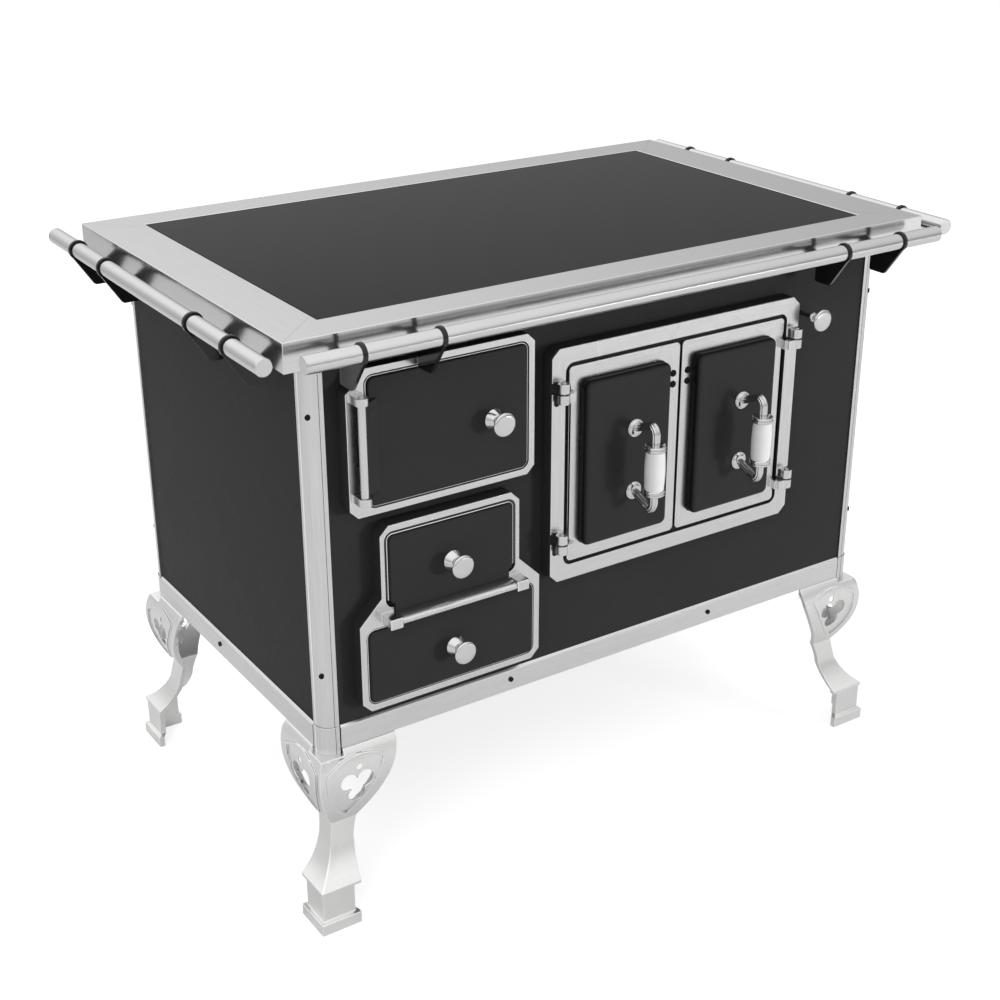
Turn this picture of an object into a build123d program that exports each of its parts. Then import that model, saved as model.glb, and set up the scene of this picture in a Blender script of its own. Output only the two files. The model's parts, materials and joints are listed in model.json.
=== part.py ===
from build123d import *
from math import cos, radians, sin, tan
import os

# Wood-fired cookstove: a black enamelled steel body with rounded stainless corner posts, standing
# on four pierced cast legs.  A steel-bordered glass hob lies on top, with round towel rails held
# by hook brackets at the front and both sides.  The front carries a fire door, a drop-down ash
# flap, an ash drawer, a pair of oven doors with porcelain handles and a damper pull.
#
# Lengths are millimetres.  The floor is z = 0, the front faces -Y and the left side is -X.
# The origin lies on the floor in the middle of the stove's plan.

# ---------------------------------------------------------------- driving dimensions: worktop
side_overhang = 42.0        # worktop beyond the body at each side
front_overhang = 37.5       # and at the front and back
apron_height = 37.0
top_sheet = 3.0             # sheet of the steel border and its apron
border_side = 71.5          # steel border left and right of the glass
border_front = 53.4         # steel border before and behind the glass
glass_thickness = 5.0
glass_recess = 0.8          # glass face below the border
glass_gap = 1.5             # joint round the glass
support_ledge = 14.0        # how far the support reaches under the glass
support_rim = 8.0           # and under the border
support_sheet = 3.0

# ---------------------------------------------------------------- driving dimensions: body
body_depth = 543.0
leg_height = 250.0
post_face = 24.0            # width of a corner post on each side of its corner
post_round = 20.0
post_wall = 2.5
shoe_wall = 1.2
shoe_height = 40.0
panel_wall = 2.0
panel_tuck = 3.5            # how far a panel reaches behind the flat of a post
base_pad = 4.0              # pads between the legs and the base sheet
base_pad_size = 96.0
base_sheet = 3.0
base_inset = 14.0           # base sheet back from the body's outside
base_rail_height = 33.5
base_rail_thickness = 4.0
base_rail_bevel = 3.0
base_rail_joint = 1.5       # gap between a base rail and a shoe
panel_hole_margin = 1.0     # front panel's holes wider than the stops before them

# ---------------------------------------------------------------- driving dimensions: towel rails
rail_radius = 11.0
rail_drop = 17.0            # rail axes below the worktop's face
rail_out_front = 35.0       # rail axis in front of the apron
rail_out_side = 31.5        # rail axis beside the apron
front_rail_short = 7.0      # front rail ends this far inside the worktop's sides
side_rail_extra = 18.0      # side rails run this far past the worktop's front and back
rail_end_round = 1.0
bracket_thickness = 5.0
bracket_ring_wall = 2.5
bracket_fit = 0.05          # radial fit of a rail in its rings
bracket_hang = 31.0         # brackets' lowest edge below the apron
bracket_back = 14.5         # bracket's rear edge behind the apron's face
bracket_tip = 15.0          # bracket's lowest corner in front of the apron's face
bracket_gap = 0.4           # bracket clear of the apron
front_bracket_x = (317.0, 421.0)
side_bracket_y = (138.0, 240.0)

# ---------------------------------------------------------------- driving dimensions: front castings
casting_depth = 19.0        # enamelled surrounds stand this far proud of the front panel
frame_plate = 3.0           # polished frames on the surrounds
door_proud = 2.5            # fire door, flap and drawer fronts in front of the frames
door_sunk = 6.0             # backs of all doors behind the frames' faces
seat_gap = 0.3              # between a closed door and its stop
opening_round = 12.0
front_edge_round = 2.2      # rounded rim of the enamelled fronts

side_margin = 42.7          # fire frame from the body's left side
fire_open = (233.0, 170.7)  # width and height of the opening in the polished frame
fire_rise = 36.7            # fire door's opening above the flap's
fire_headroom = 28.3        # apron's lower edge above the fire door's opening
fire_gap = 4.0              # round the fire door
fire_stop = 8.0             # stop's reach into the opening
fire_band = 8.6
fire_hinge_band = 24.5      # wider left side of the frame, for the hinge
fire_chamfer = 11.0
fire_liner_inset = 8.0
fire_liner_depth = 23.0
fire_hinge_out = 16.5       # hinge axis in front of the frame
fire_hinge_left = 12.5      # hinge axis left of the opening
fire_barrel_radius = 5.0
fire_collar_radius = 8.3
fire_collar_height = 10.0
fire_collar_low = 15.0      # lower collar's bottom above the opening's bottom
fire_collar_high = 18.7     # upper collar's top below the opening's top

flap_open = (192.7, 103.8)
flap_rise = 23.1            # flap's opening above the drawer's
flap_gap = 5.5
flap_stop = 9.0
flap_side_band = 6.0        # polished frame beside the flap
drawer_open = (251.0, 107.0)
drawer_rise = 67.4          # drawer's opening above the legs
drawer_gap = 3.0
drawer_stop = 6.0
ash_band = 8.8              # polished frame above the flap and round the drawer
ash_chamfer = 12.5
ash_shoulder_drop = 15.5    # frame's shoulder starts above the flap opening's bottom by this
flap_hinge_out = 17.0
flap_hinge_drop = 11.7      # hinge axis below the flap opening
flap_barrel_radius = 3.9
flap_block = (18.0, 14.5)   # width and height of the hinge blocks
flap_block_cover = 6.0      # block in front of the hinge axis
flap_block_spacing = 188.0
flap_web_top = 7.0          # web's top at the flap's face above the hinge axis

column_gap = 17.2           # oven frame right of the ash frame
damper_margin = 164.1       # oven frame from the body's right side
oven_open = (373.9, 283.7)
oven_headroom = 70.8        # apron's lower edge above the oven's opening
oven_gap = 5.2              # round the pair of oven doors
oven_meeting_gap = 4.0      # between them
oven_stop = 10.0
oven_band = 21.4
oven_chamfer = 11.5
oven_ring_side = 20.2       # polished ring of each oven door beside the raised panel
oven_ring_end = 20.8        # the same above and below
oven_panel_shift = -2.1     # raised panels right of the doors' middles
oven_panel_proud = 14.0
oven_panel_edge = 7.0       # rounded rim of the raised panel
oven_panel_round = 10.0     # its corners
oven_panel_flange = 5.0
oven_panel_flange_lap = 5.0
oven_panel_fit = 0.2
oven_hinge_out = 9.5        # hinge axes in front of the frame
oven_hinge_side = 9.8       # hinge axes outside the opening
oven_knuckle_radius = 8.0
oven_knuckle_height = 12.6
oven_knuckle_gap = 2.2
oven_hinge_low = 38.5       # lower hinges above the opening's bottom
oven_hinge_high = 34.7      # upper hinges below the opening's top
oven_hinge_foot = 4.0       # how far a knuckle's foot reaches onto the door
oven_notch_high = 12.0      # notch in the frame beside a hinge, above its middle
oven_notch_low = 20.0       # and below it
oven_notch_lip = 3.4        # frame left outside the notch's lower part
catch_screw_radius = 4.8
catch_screw_down = (62.6, 47.4)        # screws below the opening's top
catch_screw_in = 10.3       # screws from the door's meeting edge

pin_radius = 2.5
pin_fit = 0.05
pin_head = 1.6
hinge_end_gap = 0.4         # barrel clear of the collars and blocks

# ---------------------------------------------------------------- driving dimensions: knobs, handles
knob_radius = 15.8
knob_length = 27.0
knob_disc = 6.0
knob_base_radius = 14.0
knob_neck_radius = 6.5
fire_knob_in = 54.0         # knob axis from the right edge of the opening
fire_knob_up = 79.0         # knob axes above the bottoms of their openings
flap_knob_up = 43.0
drawer_knob_up = 49.6
drawer_knob_right = 2.0     # drawer knob right of the drawer's middle

handle_reach = 43.5         # grip axis in front of the raised panel
handle_spacing = 89.2       # between the two rosettes
handle_up = 134.9           # middle of the handles above the opening's bottom
handle_shift = 7.7          # handles right of the doors' middles
rosette_radius = 12.5
rosette_thickness = 3.0
arm_radius = 5.6
arm_bend = 13.0
arm_slope = 22.0            # arms leave the rosettes spreading by this angle
ferrule_radius = 14.6
ferrule_height = 6.5
grip_radius = 14.0
grip_end_radius = 12.6
grip_length = 58.0
grip_fit = 0.2
tie_rod_radius = 3.5

damper_in = 139.0           # damper rod from the body's right side
damper_drop = 84.0          # and below the apron
damper_rod_radius = 3.5
damper_hole_fit = 0.6
damper_rod_out = 24.0       # rod seen in front of the panel
damper_knob_length = 22.0
damper_collar_radius = 7.5
damper_rod_inside = 420.0
damper_plate = (110.0, 75.0, 2.0)     # width, depth and thickness

# ---------------------------------------------------------------- driving dimensions: inside
oven_liner_inset = 8.0      # liner inside the stop opening
oven_liner_depth = 420.0
liner_wall = 2.0
rack_rod = 3.0
rack_bar = 1.8
rack_bars = 11
rack_up = 53.5              # rack above the bottom of the oven's opening
rack_clearance = 2.0
rack_ledge = 8.0
shelf_thickness = 12.0
shelf_below_door = 23.0     # firebox shelf's top below the fire door's opening
firebox_depth = 400.0
firebox_gap = 4.0           # shelf and bricks behind the front panel
shelf_corner = 12.0         # cut corners of the shelf, clear of the post
brick_thickness = 30.0
brick_headroom = 20.0       # bricks end this far below the hob support
brick_smoke_gap = 115.2     # low brick beside the oven below the hob support, for the smoke
grate_size = (170.0, 290.0)
grate_thickness = 14.0
grate_bar = 9.0
grate_bars = 9
grate_fit = 1.5
ash_wall = 3.0
ash_wall_out = 4.0          # ash walls outside the drawer opening
runner_width = 14.0
runner_thickness = 3.0
tray_gap = 4.0              # tray inside the stop opening
tray_depth = 390.0
tray_height = 88.0
tray_wall = 1.5
baffle_sheet = 3.0
baffle_drop = 15.0          # baffle below the damper rod
baffle_port = (90.0, 55.0)             # fully open when the rod is pulled 65 mm
baffle_slot = 60.0          # open slot between the baffle and the front panel
baffle_corner = 9.0         # baffle's rear edge before the back panel
flue_in = 158.0             # flue from the body's right side
flue_down = 187.0           # and below the apron
flue_radius = 65.0          # outside of the spigot, for a 130 mm pipe
flue_wall = 4.0
flue_reach = 91.6           # spigot behind the body
flue_flange_radius = 84.0
flue_flange = 6.0

# ---------------------------------------------------------------- driving dimensions: legs
leg_wall = 9.0
leg_top_out = 8.0           # casting outside the body's corner at its top
leg_lip_out = 3.0           # lip on the leg up to the base rails, at its top
knee_out = 15.0
knee_drop = 28.0            # this and the next three drops are below the top of the leg
knee_low_out = 12.0
knee_low_drop = 59.0
waist_in = 12.0
waist_drop = 111.0
shin_in = 6.5
shin_drop = 141.0
ankle_out = 26.0
ankle_z = 64.5
block_out = 24.0
block_top = 60.0
plinth_out = 29.5
plinth_top = 17.0
leg_top_width = 102.0       # the next six are measured inwards from the body's corner
leg_knee_width = 90.0
leg_waist_width = 50.0
leg_shin_width = 41.0
leg_ankle_width = 32.5
leg_block_width = 23.0
leg_plinth_width = 29.0
leg_flange = 66.0
leg_flange_thickness = 6.0
shield_relief = 2.2
shield_border = 5.0
shield_tip_round = 6.0
trefoil_centre = (39.0, 46.0)          # from the corner and below the top of the leg
trefoil_radius = 12.0
trefoil_spread = 13.5
eyelet_centre = (44.0, 21.0)
eyelet_radius = 4.2
motif_wall = 3.0            # plate left round the motif, which is hollowed from behind
motif_hollow_inset = 7.0    # edge of that hollow inside the shield's edge
motif_hollow_room = 3.0     # and from the other plate

screw_head_radius = 3.4
screw_head_height = 1.6
post_screw_up = 116.0       # lower screws of the posts above the legs
post_screw_down = 75.0      # upper screws of the posts below the apron
front_rail_screw_x = 173.0
side_rail_screw_y = 35.0

# ---------------------------------------------------------------- derived places
drawer_open_bottom = leg_height + drawer_rise
flap_open_bottom = drawer_open_bottom + drawer_open[1] + flap_rise
fire_open_bottom = flap_open_bottom + flap_open[1] + fire_rise
apron_z = fire_open_bottom + fire_open[1] + fire_headroom      # apron's lower edge
top_height = apron_z + apron_height
oven_open_bottom = apron_z - oven_headroom - oven_open[1]
rail_height = top_height - rail_drop

column_from_left = side_margin + fire_hinge_band + fire_open[0] / 2
oven_from_column = drawer_open[0] / 2 + ash_band + column_gap + oven_band + oven_open[0] / 2
oven_from_right = oven_open[0] / 2 + oven_band + damper_margin
body_width = column_from_left + oven_from_column + oven_from_right
top_width = body_width + 2 * side_overhang
top_depth = body_depth + 2 * front_overhang
half_w = body_width / 2
half_d = body_depth / 2
column_x = -half_w + column_from_left           # middle of the fire door, flap and drawer
oven_x = half_w - oven_from_right               # middle of the oven
damper_x = half_w - damper_in
damper_z = apron_z - damper_drop
flue_x = half_w - flue_in
flue_z = apron_z - flue_down
front_rail_length = top_width - 2 * front_rail_short
side_rail_length = top_depth + 2 * side_rail_extra
sheet_under = top_height - top_sheet            # underside of the steel border
panel_y = -(half_d - post_wall)                 # outside of the front panel
panel_x = half_w - post_wall                    # outside of the side panels
panel_back_y = panel_y + panel_wall             # inside of the front panel
panel_bottom = leg_height + base_pad + base_sheet
casting_y = panel_y - casting_depth             # face of the surrounds
frame_y = casting_y - frame_plate               # face of the polished frames
door_back_y = frame_y + door_sunk
stop_y = door_back_y + seat_gap
front_y = frame_y - door_proud                  # face of the enamelled door fronts
glass_top = top_height - glass_recess
glass_under = glass_top - glass_thickness
raised_y = frame_y - oven_panel_proud           # face of the raised oven panels
grip_y = raised_y - handle_reach

ring_radius = rail_radius + bracket_ring_wall
rail_reach = top_depth / 2 + rail_out_front + ring_radius
front_reach = max(rail_reach, ferrule_radius - grip_y)
back_reach = half_d + flue_reach
plan_middle = (back_reach - front_reach) / 2    # moved to y = 0 when the pieces are written


# ---------------------------------------------------------------- shared shapes
def block(x0, x1, y0, y1, z0, z1):
    """Box between two opposite corners."""
    return Pos((x0 + x1) / 2, (y0 + y1) / 2, (z0 + z1) / 2) * Box(x1 - x0, y1 - y0, z1 - z0)


def slab(face, y_back, y_front):
    """Face drawn in x and z, given its thickness from y_back forward to y_front."""
    return Pos(0, y_back, 0) * extrude(Plane.XZ * face, y_back - y_front)


def opening(middle_x, size, bottom, grow=0.0, radius=opening_round):
    """Rounded opening of a width and height above a bottom line, grown all round by a margin."""
    width, height = size
    round_now = min(max(radius + grow, 1.0), width / 2.1, height / 2.1)
    place = Pos(middle_x, bottom + height / 2)
    return place * RectangleRounded(width + 2 * grow, height + 2 * grow, round_now)


def outline(points):
    """Flat face inside a closed row of straight edges."""
    return make_face(Polyline(*points, close=True))


def clipped(x0, x1, z0, z1, cut):
    """Rectangle with its four corners cut off at 45 degrees."""
    return outline([(x0 + cut, z0), (x1 - cut, z0), (x1, z0 + cut), (x1, z1 - cut),
                    (x1 - cut, z1), (x0 + cut, z1), (x0, z1 - cut), (x0, z0 + cut)])


def turned(profile):
    """Solid of revolution about Z from (radius, height) points."""
    return revolve(Plane.XZ * outline(profile), Axis.Z)


def facing_front(shape, x, y, z):
    """Shape made along +Z, turned to point forwards and put in place."""
    return Pos(x, y, z) * Rot(90, 0, 0) * shape


def across(shape, x, y, z):
    """Shape made along +Z about its middle, turned to lie along X."""
    return Pos(x, y, z) * Rot(0, 90, 0) * shape


def front_rim(shape, radius):
    """Rounds the rim of the foremost face."""
    return fillet(shape.faces().sort_by(Axis.Y)[0].edges(), radius)


# ---------------------------------------------------------------- worktop
def worktop_border():
    """Welded steel border: a flat ring with an apron folded down round its outside."""
    half_x = top_width / 2
    half_y = top_depth / 2
    shell = block(-half_x, half_x, -half_y, half_y, apron_z, top_height)
    shell -= block(-half_x + top_sheet, half_x - top_sheet, -half_y + top_sheet,
                   half_y - top_sheet, apron_z, sheet_under)
    shell -= block(-half_x + border_side, half_x - border_side, -half_y + border_front,
                   half_y - border_front, sheet_under, top_height)
    return shell


def hob_glass():
    """Black glass plate in the border, with a fine bevel round its face."""
    half_x = top_width / 2 - border_side - glass_gap
    half_y = top_depth / 2 - border_front - glass_gap
    plate = block(-half_x, half_x, -half_y, half_y, glass_under, glass_top)
    return chamfer(plate.faces().sort_by(Axis.Z)[-1].edges(), glass_recess)


def hob_support():
    """Stepped steel ring fixed under the border, which carries the edge of the glass."""
    half_x = top_width / 2 - border_side
    half_y = top_depth / 2 - border_front
    lap = support_ledge
    rim = support_rim
    outer = block(-half_x - rim, half_x + rim, -half_y - rim, half_y + rim,
                  glass_under - support_sheet, sheet_under)
    step = block(-half_x, half_x, -half_y, half_y, glass_under, sheet_under)
    hole = block(-half_x + lap, half_x - lap, -half_y + lap, half_y - lap,
                 glass_under - support_sheet, sheet_under)
    return outer - step - hole


# ---------------------------------------------------------------- body shell
def corner_region(size, radius, grow=0.0):
    """Square from a corner inwards, with that corner rounded, in the corner's own x and y."""
    side = size + grow
    square = Pos(size / 2 - grow / 2, size / 2 - grow / 2) * Rectangle(side, side)
    corner = square.vertices().sort_by_distance((-side, -side))[0]
    return fillet(corner, radius + grow)


def four_corners(shape):
    """Turned copies of a piece made about the front left corner and symmetric about its diagonal.

    The copies are front left, front right, back right and back left, each a quarter turn on.
    """
    corners = [(-half_w, -half_d), (half_w, -half_d), (half_w, half_d), (-half_w, half_d)]
    return [Pos(x, y, 0) * Rot(0, 0, 90 * turn) * shape for turn, (x, y) in enumerate(corners)]


def corner_post():
    """Corner post: a thin rounded angle from the leg to the underside of the border."""
    section = corner_region(post_face, post_round)
    section -= Pos(post_wall, post_wall) * corner_region(post_face, post_round - post_wall)
    return Pos(0, 0, leg_height) * extrude(section, sheet_under - leg_height)


def post_shoe():
    """Sleeve round the foot of a post, with its lower edge rounded."""
    section = corner_region(post_face, post_round, shoe_wall)
    section -= corner_region(post_face * 1.5, post_round)
    return Pos(0, 0, leg_height) * extrude(section, shoe_height)


def panel_hole(middle_x, size, bottom, stop):
    """Square-cornered hole in the front panel, just wider than the stop opening before it."""
    half = size[0] / 2 - stop + panel_hole_margin
    return block(middle_x - half, middle_x + half, panel_y, panel_back_y,
                 bottom + stop - panel_hole_margin, bottom + size[1] - stop + panel_hole_margin)


def front_panel():
    """Front sheet between the front posts, open behind the doors and for the damper rod."""
    half_x = half_w - post_face + panel_tuck
    sheet = block(-half_x, half_x, panel_y, panel_back_y, panel_bottom, sheet_under)
    sheet -= panel_hole(column_x, fire_open, fire_open_bottom, fire_stop)
    sheet -= panel_hole(column_x, flap_open, flap_open_bottom, flap_stop)
    sheet -= panel_hole(column_x, drawer_open, drawer_open_bottom, drawer_stop)
    sheet -= panel_hole(oven_x, oven_open, oven_open_bottom, oven_stop)
    rod_hole = Cylinder(damper_rod_radius + damper_hole_fit, 3 * panel_wall)
    return sheet - facing_front(rod_hole, damper_x, (panel_y + panel_back_y) / 2, damper_z)


def side_panel(side):
    """Left (-1) or right (+1) side sheet."""
    half_y = half_d - post_face + panel_tuck
    inner, outer = sorted((side * (panel_x - panel_wall), side * panel_x))
    return block(inner, outer, -half_y, half_y, panel_bottom, sheet_under)


def back_panel():
    """Rear sheet with the flue's round hole."""
    half_x = half_w - post_face + panel_tuck
    sheet = block(-half_x, half_x, -panel_back_y, -panel_y, panel_bottom, sheet_under)
    hole = facing_front(Cylinder(flue_radius - flue_wall, 3 * panel_wall), flue_x,
                        -(panel_y + panel_back_y) / 2, flue_z)
    return sheet - hole


def base_panel():
    """Base sheet on four corner pads, to which the legs are bolted."""
    half_x = half_w - base_inset
    half_y = half_d - base_inset
    base = block(-half_x, half_x, -half_y, half_y, leg_height + base_pad, panel_bottom)
    for sx in (-1, 1):
        for sy in (-1, 1):
            x0, x1 = sorted((sx * half_x, sx * (half_x - base_pad_size)))
            y0, y1 = sorted((sy * half_y, sy * (half_y - base_pad_size)))
            base += block(x0, x1, y0, y1, leg_height, leg_height + base_pad)
    return base


def base_rail_section():
    """Rail section, with the panel side at zero, outwards negative and z upwards."""
    top = panel_bottom + base_rail_height
    out = -base_rail_thickness
    return outline([(0, panel_bottom), (out, panel_bottom), (out, top - base_rail_bevel),
                    (out + base_rail_bevel, top), (0, top)])


def base_rails():
    """Bevelled stainless rails round the foot of the body: front, back, left and right."""
    half_x = half_w - post_face - base_rail_joint
    half_y = half_d - post_face - base_rail_joint
    long_rail = extrude(Plane.YZ * base_rail_section(), half_x, both=True)
    front = Pos(0, panel_y, 0) * long_rail
    short_rail = Rot(0, 0, -90) * extrude(Plane.YZ * base_rail_section(), half_y, both=True)
    left = Pos(-panel_x, 0, 0) * short_rail
    return [front, mirror(front, Plane.XZ), left, mirror(left, Plane.YZ)]


# ---------------------------------------------------------------- towel rails
def towel_rail(length):
    """Polished round rail along X about its middle, with eased ends."""
    bar = Cylinder(rail_radius, length)
    ends = bar.edges().filter_by(GeomType.CIRCLE)
    return Rot(0, 90, 0) * chamfer(ends, rail_end_round)


def bracket(rail_out):
    """Hook bracket in y and z about the apron's face: a ring round the rail on a tapering web.

    The web runs back under the apron and up behind it to the underside of the border.
    """
    under = apron_z - bracket_gap
    behind = top_sheet + bracket_gap
    bottom = apron_z - bracket_hang
    ring_front = -rail_out - 0.9 * ring_radius
    web = outline([(bracket_back, sheet_under), (bracket_back, bottom + 2),
                   (bracket_back - 2, bottom), (-bracket_tip + 3, bottom),
                   (-bracket_tip, bottom + 2), (ring_front, rail_height - 5),
                   (-rail_out, rail_height), (-rail_out + ring_radius * 0.8, rail_height - 6),
                   (-1, under), (behind, under), (behind, sheet_under)])
    ring = Pos(-rail_out, rail_height) * Circle(ring_radius)
    hole = Pos(-rail_out, rail_height) * Circle(rail_radius + bracket_fit)
    face = web + ring - hole
    return extrude(Plane.YZ * face, bracket_thickness / 2, both=True)


def rail_brackets():
    """Twelve hook brackets: four each at the front, the left and the right."""
    front = Pos(0, -top_depth / 2, 0) * bracket(rail_out_front)
    side = Rot(0, 0, -90) * bracket(rail_out_side)
    pieces = []
    for x in front_bracket_x:
        pieces += [Pos(-x, 0, 0) * front, Pos(x, 0, 0) * front]
    for y in side_bracket_y:
        for sign in (-1, 1):
            left = Pos(-top_width / 2, sign * y, 0) * side
            pieces += [left, mirror(left, Plane.YZ)]
    return pieces


# ---------------------------------------------------------------- surrounds and polished frames
def fire_outline():
    """Fire frame: clipped corners, and a wider left side below a slanting top corner."""
    x0 = column_x - fire_open[0] / 2
    x1 = column_x + fire_open[0] / 2 + fire_band
    z0 = fire_open_bottom - fire_band
    z1 = fire_open_bottom + fire_open[1] + fire_band
    left = x0 - fire_hinge_band
    cut = fire_chamfer
    shoulder = fire_open_bottom + fire_open[1] - fire_collar_high
    return outline([(left + cut, z0), (x1 - cut, z0), (x1, z0 + cut), (x1, z1 - cut),
                    (x1 - cut, z1), (x0, z1), (x0 - fire_band, shoulder + cut), (left, shoulder),
                    (left, z0 + cut)])


def ash_outline():
    """Frame round flap and drawer: narrow above, with sloping shoulders to the wider drawer."""
    narrow = flap_open[0] / 2 + flap_side_band
    wide = drawer_open[0] / 2 + ash_band
    z0 = drawer_open_bottom - ash_band
    z1 = flap_open_bottom + flap_open[1] + ash_band
    high = flap_open_bottom + ash_shoulder_drop
    low = high - (wide - narrow)
    cut = ash_chamfer
    right = [(wide - cut, z0), (wide, z0 + cut), (wide, low), (narrow, high), (narrow, z1 - cut),
             (narrow - cut, z1)]
    left = [(-x, z) for x, z in reversed(right)]
    return Pos(column_x, 0) * outline(right + left)


def oven_outline():
    """Oven frame: a rectangle with clipped corners."""
    half_x = oven_open[0] / 2 + oven_band
    return clipped(oven_x - half_x, oven_x + half_x, oven_open_bottom - oven_band,
                   oven_open_bottom + oven_open[1] + oven_band, oven_chamfer)


def surround(shape, holes):
    """Enamelled casting with a rebate in front of a stop lip in each opening."""
    casting = slab(shape, panel_y, casting_y)
    for middle, size, bottom, stop in holes:
        casting -= slab(opening(middle, size, bottom, -stop), panel_y, casting_y)
        casting -= slab(opening(middle, size, bottom), stop_y, casting_y)
    return casting


def fire_surround():
    return surround(fire_outline(), [(column_x, fire_open, fire_open_bottom, fire_stop)])


def ash_surround():
    return surround(ash_outline(), [(column_x, flap_open, flap_open_bottom, flap_stop),
                                    (column_x, drawer_open, drawer_open_bottom, drawer_stop)])


def oven_surround():
    return surround(oven_outline(), [(oven_x, oven_open, oven_open_bottom, oven_stop)])


fire_axis_x = column_x - fire_open[0] / 2 - fire_hinge_left
fire_axis_y = frame_y - fire_hinge_out
fire_collar_zs = (fire_open_bottom + fire_collar_low,
                  fire_open_bottom + fire_open[1] - fire_collar_high - fire_collar_height)
flap_axis_y = frame_y - flap_hinge_out
flap_axis_z = flap_open_bottom - flap_hinge_drop
oven_axis_y = frame_y - oven_hinge_out
oven_axis_left = oven_x - oven_open[0] / 2 - oven_hinge_side
oven_open_top = oven_open_bottom + oven_open[1]
oven_hinge_zs = (oven_open_bottom + oven_hinge_low, oven_open_top - oven_hinge_high)


def fire_frame():
    """Polished fire frame, with two arms that carry the collars of the hinge pin."""
    plate = slab(fire_outline() - opening(column_x, fire_open, fire_open_bottom), casting_y, frame_y)
    for z in fire_collar_zs:
        middle = z + fire_collar_height / 2
        collar = Pos(fire_axis_x, fire_axis_y, middle) * Cylinder(fire_collar_radius,
                                                                  fire_collar_height)
        arm = block(fire_axis_x - fire_collar_radius, fire_axis_x + fire_collar_radius,
                    fire_axis_y, casting_y, z, z + fire_collar_height)
        plate += collar + arm
    bore = Pos(fire_axis_x, fire_axis_y, fire_open_bottom + fire_open[1] / 2) * Cylinder(
        pin_radius + pin_fit, fire_open[1])
    return plate - bore


def ash_frame():
    """Polished ash frame, open from the flap to the drawer, with two hinge blocks."""
    holes = opening(column_x, flap_open, flap_open_bottom)
    holes += opening(column_x, drawer_open, drawer_open_bottom)
    throat_half = (flap_block_spacing - flap_block[0]) / 2
    throat = Pos(column_x, (flap_open_bottom + drawer_open_bottom + drawer_open[1]) / 2)
    throat_height = flap_open_bottom - drawer_open_bottom - drawer_open[1] + 2 * opening_round
    holes += throat * Rectangle(2 * throat_half, throat_height)
    plate = slab(ash_outline() - holes, casting_y, frame_y)
    for side in (-1, 1):
        middle = column_x + side * flap_block_spacing / 2
        ear = block(middle - flap_block[0] / 2, middle + flap_block[0] / 2,
                    flap_axis_y - flap_block_cover, casting_y,
                    flap_axis_z - flap_block[1] / 2, flap_axis_z + flap_block[1] / 2)
        plate += chamfer(ear.faces().sort_by(Axis.Y)[0].edges(), 1.0)
    bore = across(Cylinder(pin_radius + pin_fit, flap_block_spacing + 2 * flap_block[0]),
                  column_x, flap_axis_y, flap_axis_z)
    return plate - bore


def knuckle(axis_x, z0, foot_x, foot_y):
    """Hinge knuckle about a vertical axis, with a foot back to a plate at foot_y.

    foot_x is the pair of x values that the foot covers.
    """
    z1 = z0 + oven_knuckle_height
    body = Pos(axis_x, oven_axis_y, (z0 + z1) / 2) * Cylinder(oven_knuckle_radius,
                                                              oven_knuckle_height)
    low, high = foot_x
    foot = block(low, high, oven_axis_y, foot_y, z0, z1)
    if low > axis_x:
        foot += block(axis_x, low, oven_axis_y - oven_knuckle_radius / 2,
                      oven_axis_y + oven_knuckle_radius / 2, z0, z1)
    bore = Pos(axis_x, oven_axis_y, (z0 + z1) / 2) * Cylinder(pin_radius + pin_fit,
                                                              2 * oven_knuckle_height)
    return body + foot - bore


def oven_notch(z):
    """Cut in the oven frame behind a left hinge: open to the frame's side, and a pocket below."""
    outside = oven_x - oven_open[0] / 2 - oven_band
    inner = oven_axis_left + 1
    radius = (inner - outside - oven_notch_lip) / 2
    pocket_x = (outside + oven_notch_lip + inner) / 2
    pocket = Pos(pocket_x, z) * Rectangle(2 * radius, 2 * (oven_notch_low - radius))
    pocket += Pos(pocket_x, z - oven_notch_low + radius) * Circle(radius)
    above = Pos(0, z + oven_notch_high) * Rectangle(8 * half_w, 2 * oven_notch_low,
                                                    align=(Align.CENTER, Align.MIN))
    mouth_height = oven_notch_high + oven_knuckle_gap
    mouth = Pos((outside - oven_band + inner) / 2, z + oven_notch_high - mouth_height / 2)
    mouth *= Rectangle(inner - outside + oven_band, mouth_height)
    return (pocket - above) + mouth


def oven_frame():
    """Polished oven frame, notched beside its four hinges, with the fixed knuckles."""
    plate = slab(oven_outline() - opening(oven_x, oven_open, oven_open_bottom), casting_y, frame_y)
    middle = Plane(origin=(oven_x, 0, 0), z_dir=(1, 0, 0))
    for z in oven_hinge_zs:
        notch = slab(oven_notch(z), casting_y, frame_y)
        plate -= notch
        plate -= mirror(notch, middle)
    for z in oven_hinge_zs:
        fixed = knuckle(oven_axis_left, z + oven_knuckle_gap / 2,
                        (oven_axis_left, oven_axis_left + oven_knuckle_radius), casting_y)
        plate += fixed + mirror(fixed, middle)
    return plate


def hinge_pins():
    """Steel hinge pins of the fire door, the flap and the oven doors, with small heads."""
    def pin(length):
        shank = Cylinder(pin_radius, length)
        return shank + Pos(0, 0, length / 2 + pin_head / 2) * Cylinder(pin_radius * 1.5, pin_head)

    fire_low = fire_collar_zs[0]
    fire_high = fire_collar_zs[1] + fire_collar_height
    pieces = [Pos(fire_axis_x, fire_axis_y, (fire_low + fire_high) / 2) * pin(fire_high - fire_low)]
    pieces.append(across(pin(flap_block_spacing + flap_block[0]), column_x, flap_axis_y, flap_axis_z))
    for z in oven_hinge_zs:
        left = Pos(oven_axis_left, oven_axis_y, z) * pin(2 * oven_knuckle_height + oven_knuckle_gap)
        pieces += [left, mirror(left, Plane(origin=(oven_x, 0, 0), z_dir=(1, 0, 0)))]
    return pieces


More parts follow.
